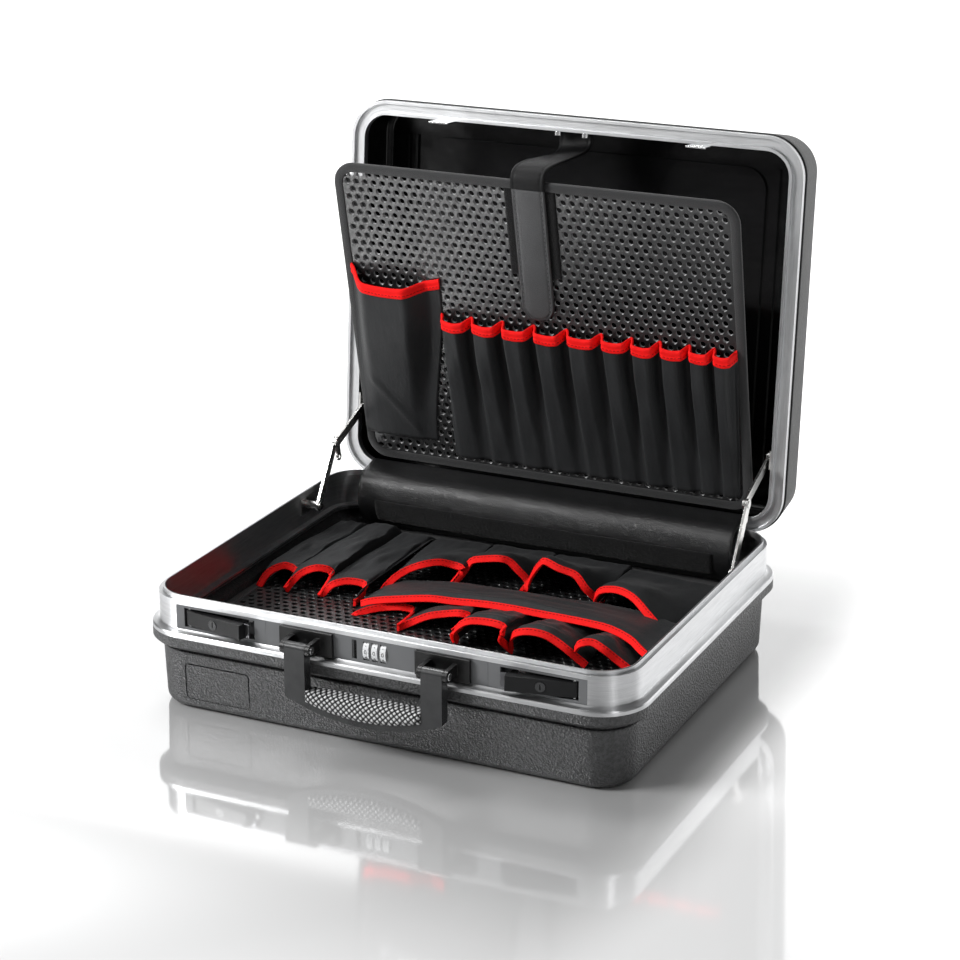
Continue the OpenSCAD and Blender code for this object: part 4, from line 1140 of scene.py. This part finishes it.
def base_pocket(name, rear_x, rear_y, stay_up, level=None, steps=34):
    """Cloth from a mouth back to its rear seam, and the binding along the mouth.

    With a level, the cloth draws level at that height before it drops to its seam.
    """
    mouth = even_curve(mouths[name])
    seed = sum(ord(letter) for letter in name)
    low, high = min(p.x for p in mouth), max(p.x for p in mouth)
    lean = Vector((0, 0.54, 0.84))
    leans = [(way, (lean - way * lean.dot(way)).normalized()) for way in ways(mouth)]
    points = []
    for row in range(steps):
        v = row / (steps - 1)
        for i, place in enumerate(mouth):
            share = i / (len(mouth) - 1)
            arch = sin(pi * share)
            front = place + leans[i][1] * 2.4
            back_x = rear_x[0] + (rear_x[1] - rear_x[0]) * (0.25 * share + 0.75 * (place.x - low) / (high - low))
            gone_back = (rear_y - front.y) * v
            hold = (1 - stay_up * v) * (1 - ease(v, 0.84, 1.0))
            swell = 3.4 * ease(gone_back, 0, 10) * (1 - ease(v, 0.1, 0.8)) * arch
            x = front.x + (back_x - front.x) * ease(v, 0.0, 1.0)
            z = BED + 0.8 + max(front.z - BED - 0.8, 0) * hold + swell
            if name.startswith("sleeve"):
                tall = max(p.z for p in mouth) - BED
                part = min(max(front.z - BED, 0) / tall, 1)
                boxy = 1 - (1 - part) ** (1 + 2.2 * ease(v, 0.0, 0.12))
                z = BED + 0.8 + tall * boxy * hold
            if level:
                flat = level - 2.5 * (1 - arch) ** 6
                z = front.z + (flat - front.z) * ease(v, 0.0, 0.62) + swell * 0.5
                z -= (z - BED - 0.8) * ease(v, 0.76, 0.94)
            ruck = drift(share * 3.1 + seed, v * 3.6, 2.0) + 0.6 * drift(share * 8 + seed, v * 7.0, 5.0)
            z += (1.7 if level else 3.0) * ruck * arch * ease(v, 0.03, 0.25) * (1 - ease(v, 0.85, 1.0))
            points.append((x, front.y + gone_back, max(z, BED + 0.6)))
    piece = add_piece(f"base_{name}_cloth", points, grid_faces(steps, len(mouth)), cloth)
    thicken(piece, 0.9)

    rows, run, gone = [], [], 0.0
    section = ((-0.9, -3.1), (0.3, -3.6), (1.4, -3.0), (1.7, -2.0), (1.7, 0.9), (1.2, 1.9), (1.6, 2.8),
               (0.9, 3.5), (-0.9, 3.3))
    for i, place in enumerate(mouth):
        way, lean = leans[i]
        out = way.cross(lean).normalized()
        if i:
            gone += (place - mouth[i - 1]).length
        row = [place + out * -a + lean * b for a, b in section]
        rows.append([Vector((p.x, p.y, max(p.z, BED + 0.1))) for p in row])
        run += [(gone, b + 4.7) for _, b in section]
    return piece, bind(f"base_{name}_binding", rows, run)


# Each cloth: name, its rear seam's ends and place, how far it sinks to the rear, the
# cut piece (mean of mouth and rear seam, by its length), and a level for the rear row.
layout = (
    ("sleeve_1", (-213, -183), 166, 0.24, (0.050, 0.170)), ("sleeve_2", (-181, -148), 167, 0.24, (0.059, 0.170)),
    ("sleeve_3", (-146, -108), 168, 0.24, (0.059, 0.171)),
    ("rear_1", (-101, -41), 164, 0.5, (0.085, 0.117), 69.0), ("rear_2", (-41, 25), 164, 0.5, (0.091, 0.088), 69.5),
    ("rear_3", (25, 103), 164, 0.5, (0.102, 0.090), 70.0), ("rear_4", (103, 207), 163, 0.5, (0.112, 0.118), 69.0),
    ("wide", (-98, 200), 46, 0.35, (0.305, 0.069)),
    ("front_1", (-98, -44), 4, 0.5, (0.078, 0.035)), ("front_2", (-43, 16), 4, 0.5, (0.083, 0.049)),
    ("front_3", (18, 72), 2, 0.5, (0.082, 0.075)), ("front_4", (74, 138), 0, 0.5, (0.082, 0.071)),
    ("front_5", (140, 186), -4, 0.5, (0.053, 0.063)),
)
stands_for = {"sleeve_1": "sleeve_pockets", "rear_1": "rear_row_pockets", "wide": "wide_pocket",
              "front_1": "front_row_pockets"}
for name, rear_x, rear_y, stay_up, flat, *level in layout:
    piece, tape_piece = base_pocket(name, rear_x, rear_y, stay_up, *level)
    nodes = [stands_for[name]] if name in stands_for else []
    belongs(piece, "base_board_body", "pocket_vinyl", *nodes)
    belongs(tape_piece, "base_board_body", "pocket_vinyl")

# ---- Rear flap ----
# A sheet of smooth vinyl from the lid frame down to the base, which hides the
# hinge. A strip of pile runs along its front.
flap_vinyl = grained_vinyl("flap_vinyl", (0.004, 0.0041, 0.0044), (0.009, 0.0092, 0.0097), 0.26)
flap_path = [(193.0, 119.5), (186.0, 117.6), (178.5, 116.0), (170.5, 114.2), (163.8, 110.8), (159.6, 105.0),
             (157.6, 98.0), (157.0, 90.0), (157.6, 82.0), (159.6, 75.0), (163.0, 69.0), (168.5, 62.6),
             (175.0, 58.0), (178.0, 56.6)]
flap_fine = smooth_path(flap_path, 6)
FLAP_HALF, FLAP_COLUMNS = 198.5, 110


def flap_wave(x, z):
    """How far the sheet waves out of its path at a place."""
    return 1.2 * drift(x * 0.012, z * 0.02, 4.0) + 0.5 * drift(x * 0.04, z * 0.03, 9.0)


points = []
for y, z in flap_fine:
    swell = ease(z, 60, 74) * (1 - ease(z, 106, 117))
    for k in range(FLAP_COLUMNS):
        x = -FLAP_HALF + 2 * FLAP_HALF * k / (FLAP_COLUMNS - 1)
        wave = flap_wave(x, z) * swell
        points.append((x, y + wave, z + 0.5 * wave))
flap = add_piece("flap_sheet", points, grid_faces(len(flap_fine), FLAP_COLUMNS), flap_vinyl)
thicken(flap, 1.4)
belongs(flap, None, "vinyl", "rear_flap")
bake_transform(flap)

strip_path = [(y, z) for y, z in flap_fine if 67.5 < z < 91.0 and y < 166]
STRIP_HALF, STRIP_COLUMNS = 179.5, 300
points = []
for layer in (0, 1):
    for i, ((y, z), way) in enumerate(zip(strip_path, ways(strip_path))):
        out = Vector((way.y, -way.x))
        if out.x > 0:
            out = -out
        end_rim = ease(min(i, len(strip_path) - 1 - i), -0.5, 1.0)
        for k in range(STRIP_COLUMNS):
            x = -STRIP_HALF + 2 * STRIP_HALF * k / (STRIP_COLUMNS - 1)
            rim = ease(min(k, STRIP_COLUMNS - 1 - k) * 0.5, -0.5, 1.5) * end_rim
            tuft = 0.7 * drift(x * 0.8, z * 0.8, 6.0)
            lift = 1.0 + (1.9 + tuft) * rim if layer else 0.9
            wave = flap_wave(x, z) * ease(z, 60, 74)
            points.append((x, y + out.x * lift + wave, z + out.y * lift + 0.5 * wave))
flap_pile = add_piece("flap_pile_strip", points, slab_faces(len(strip_path), STRIP_COLUMNS), loops)
belongs(flap_pile, "base", "loop_fabric", "flap_strip")
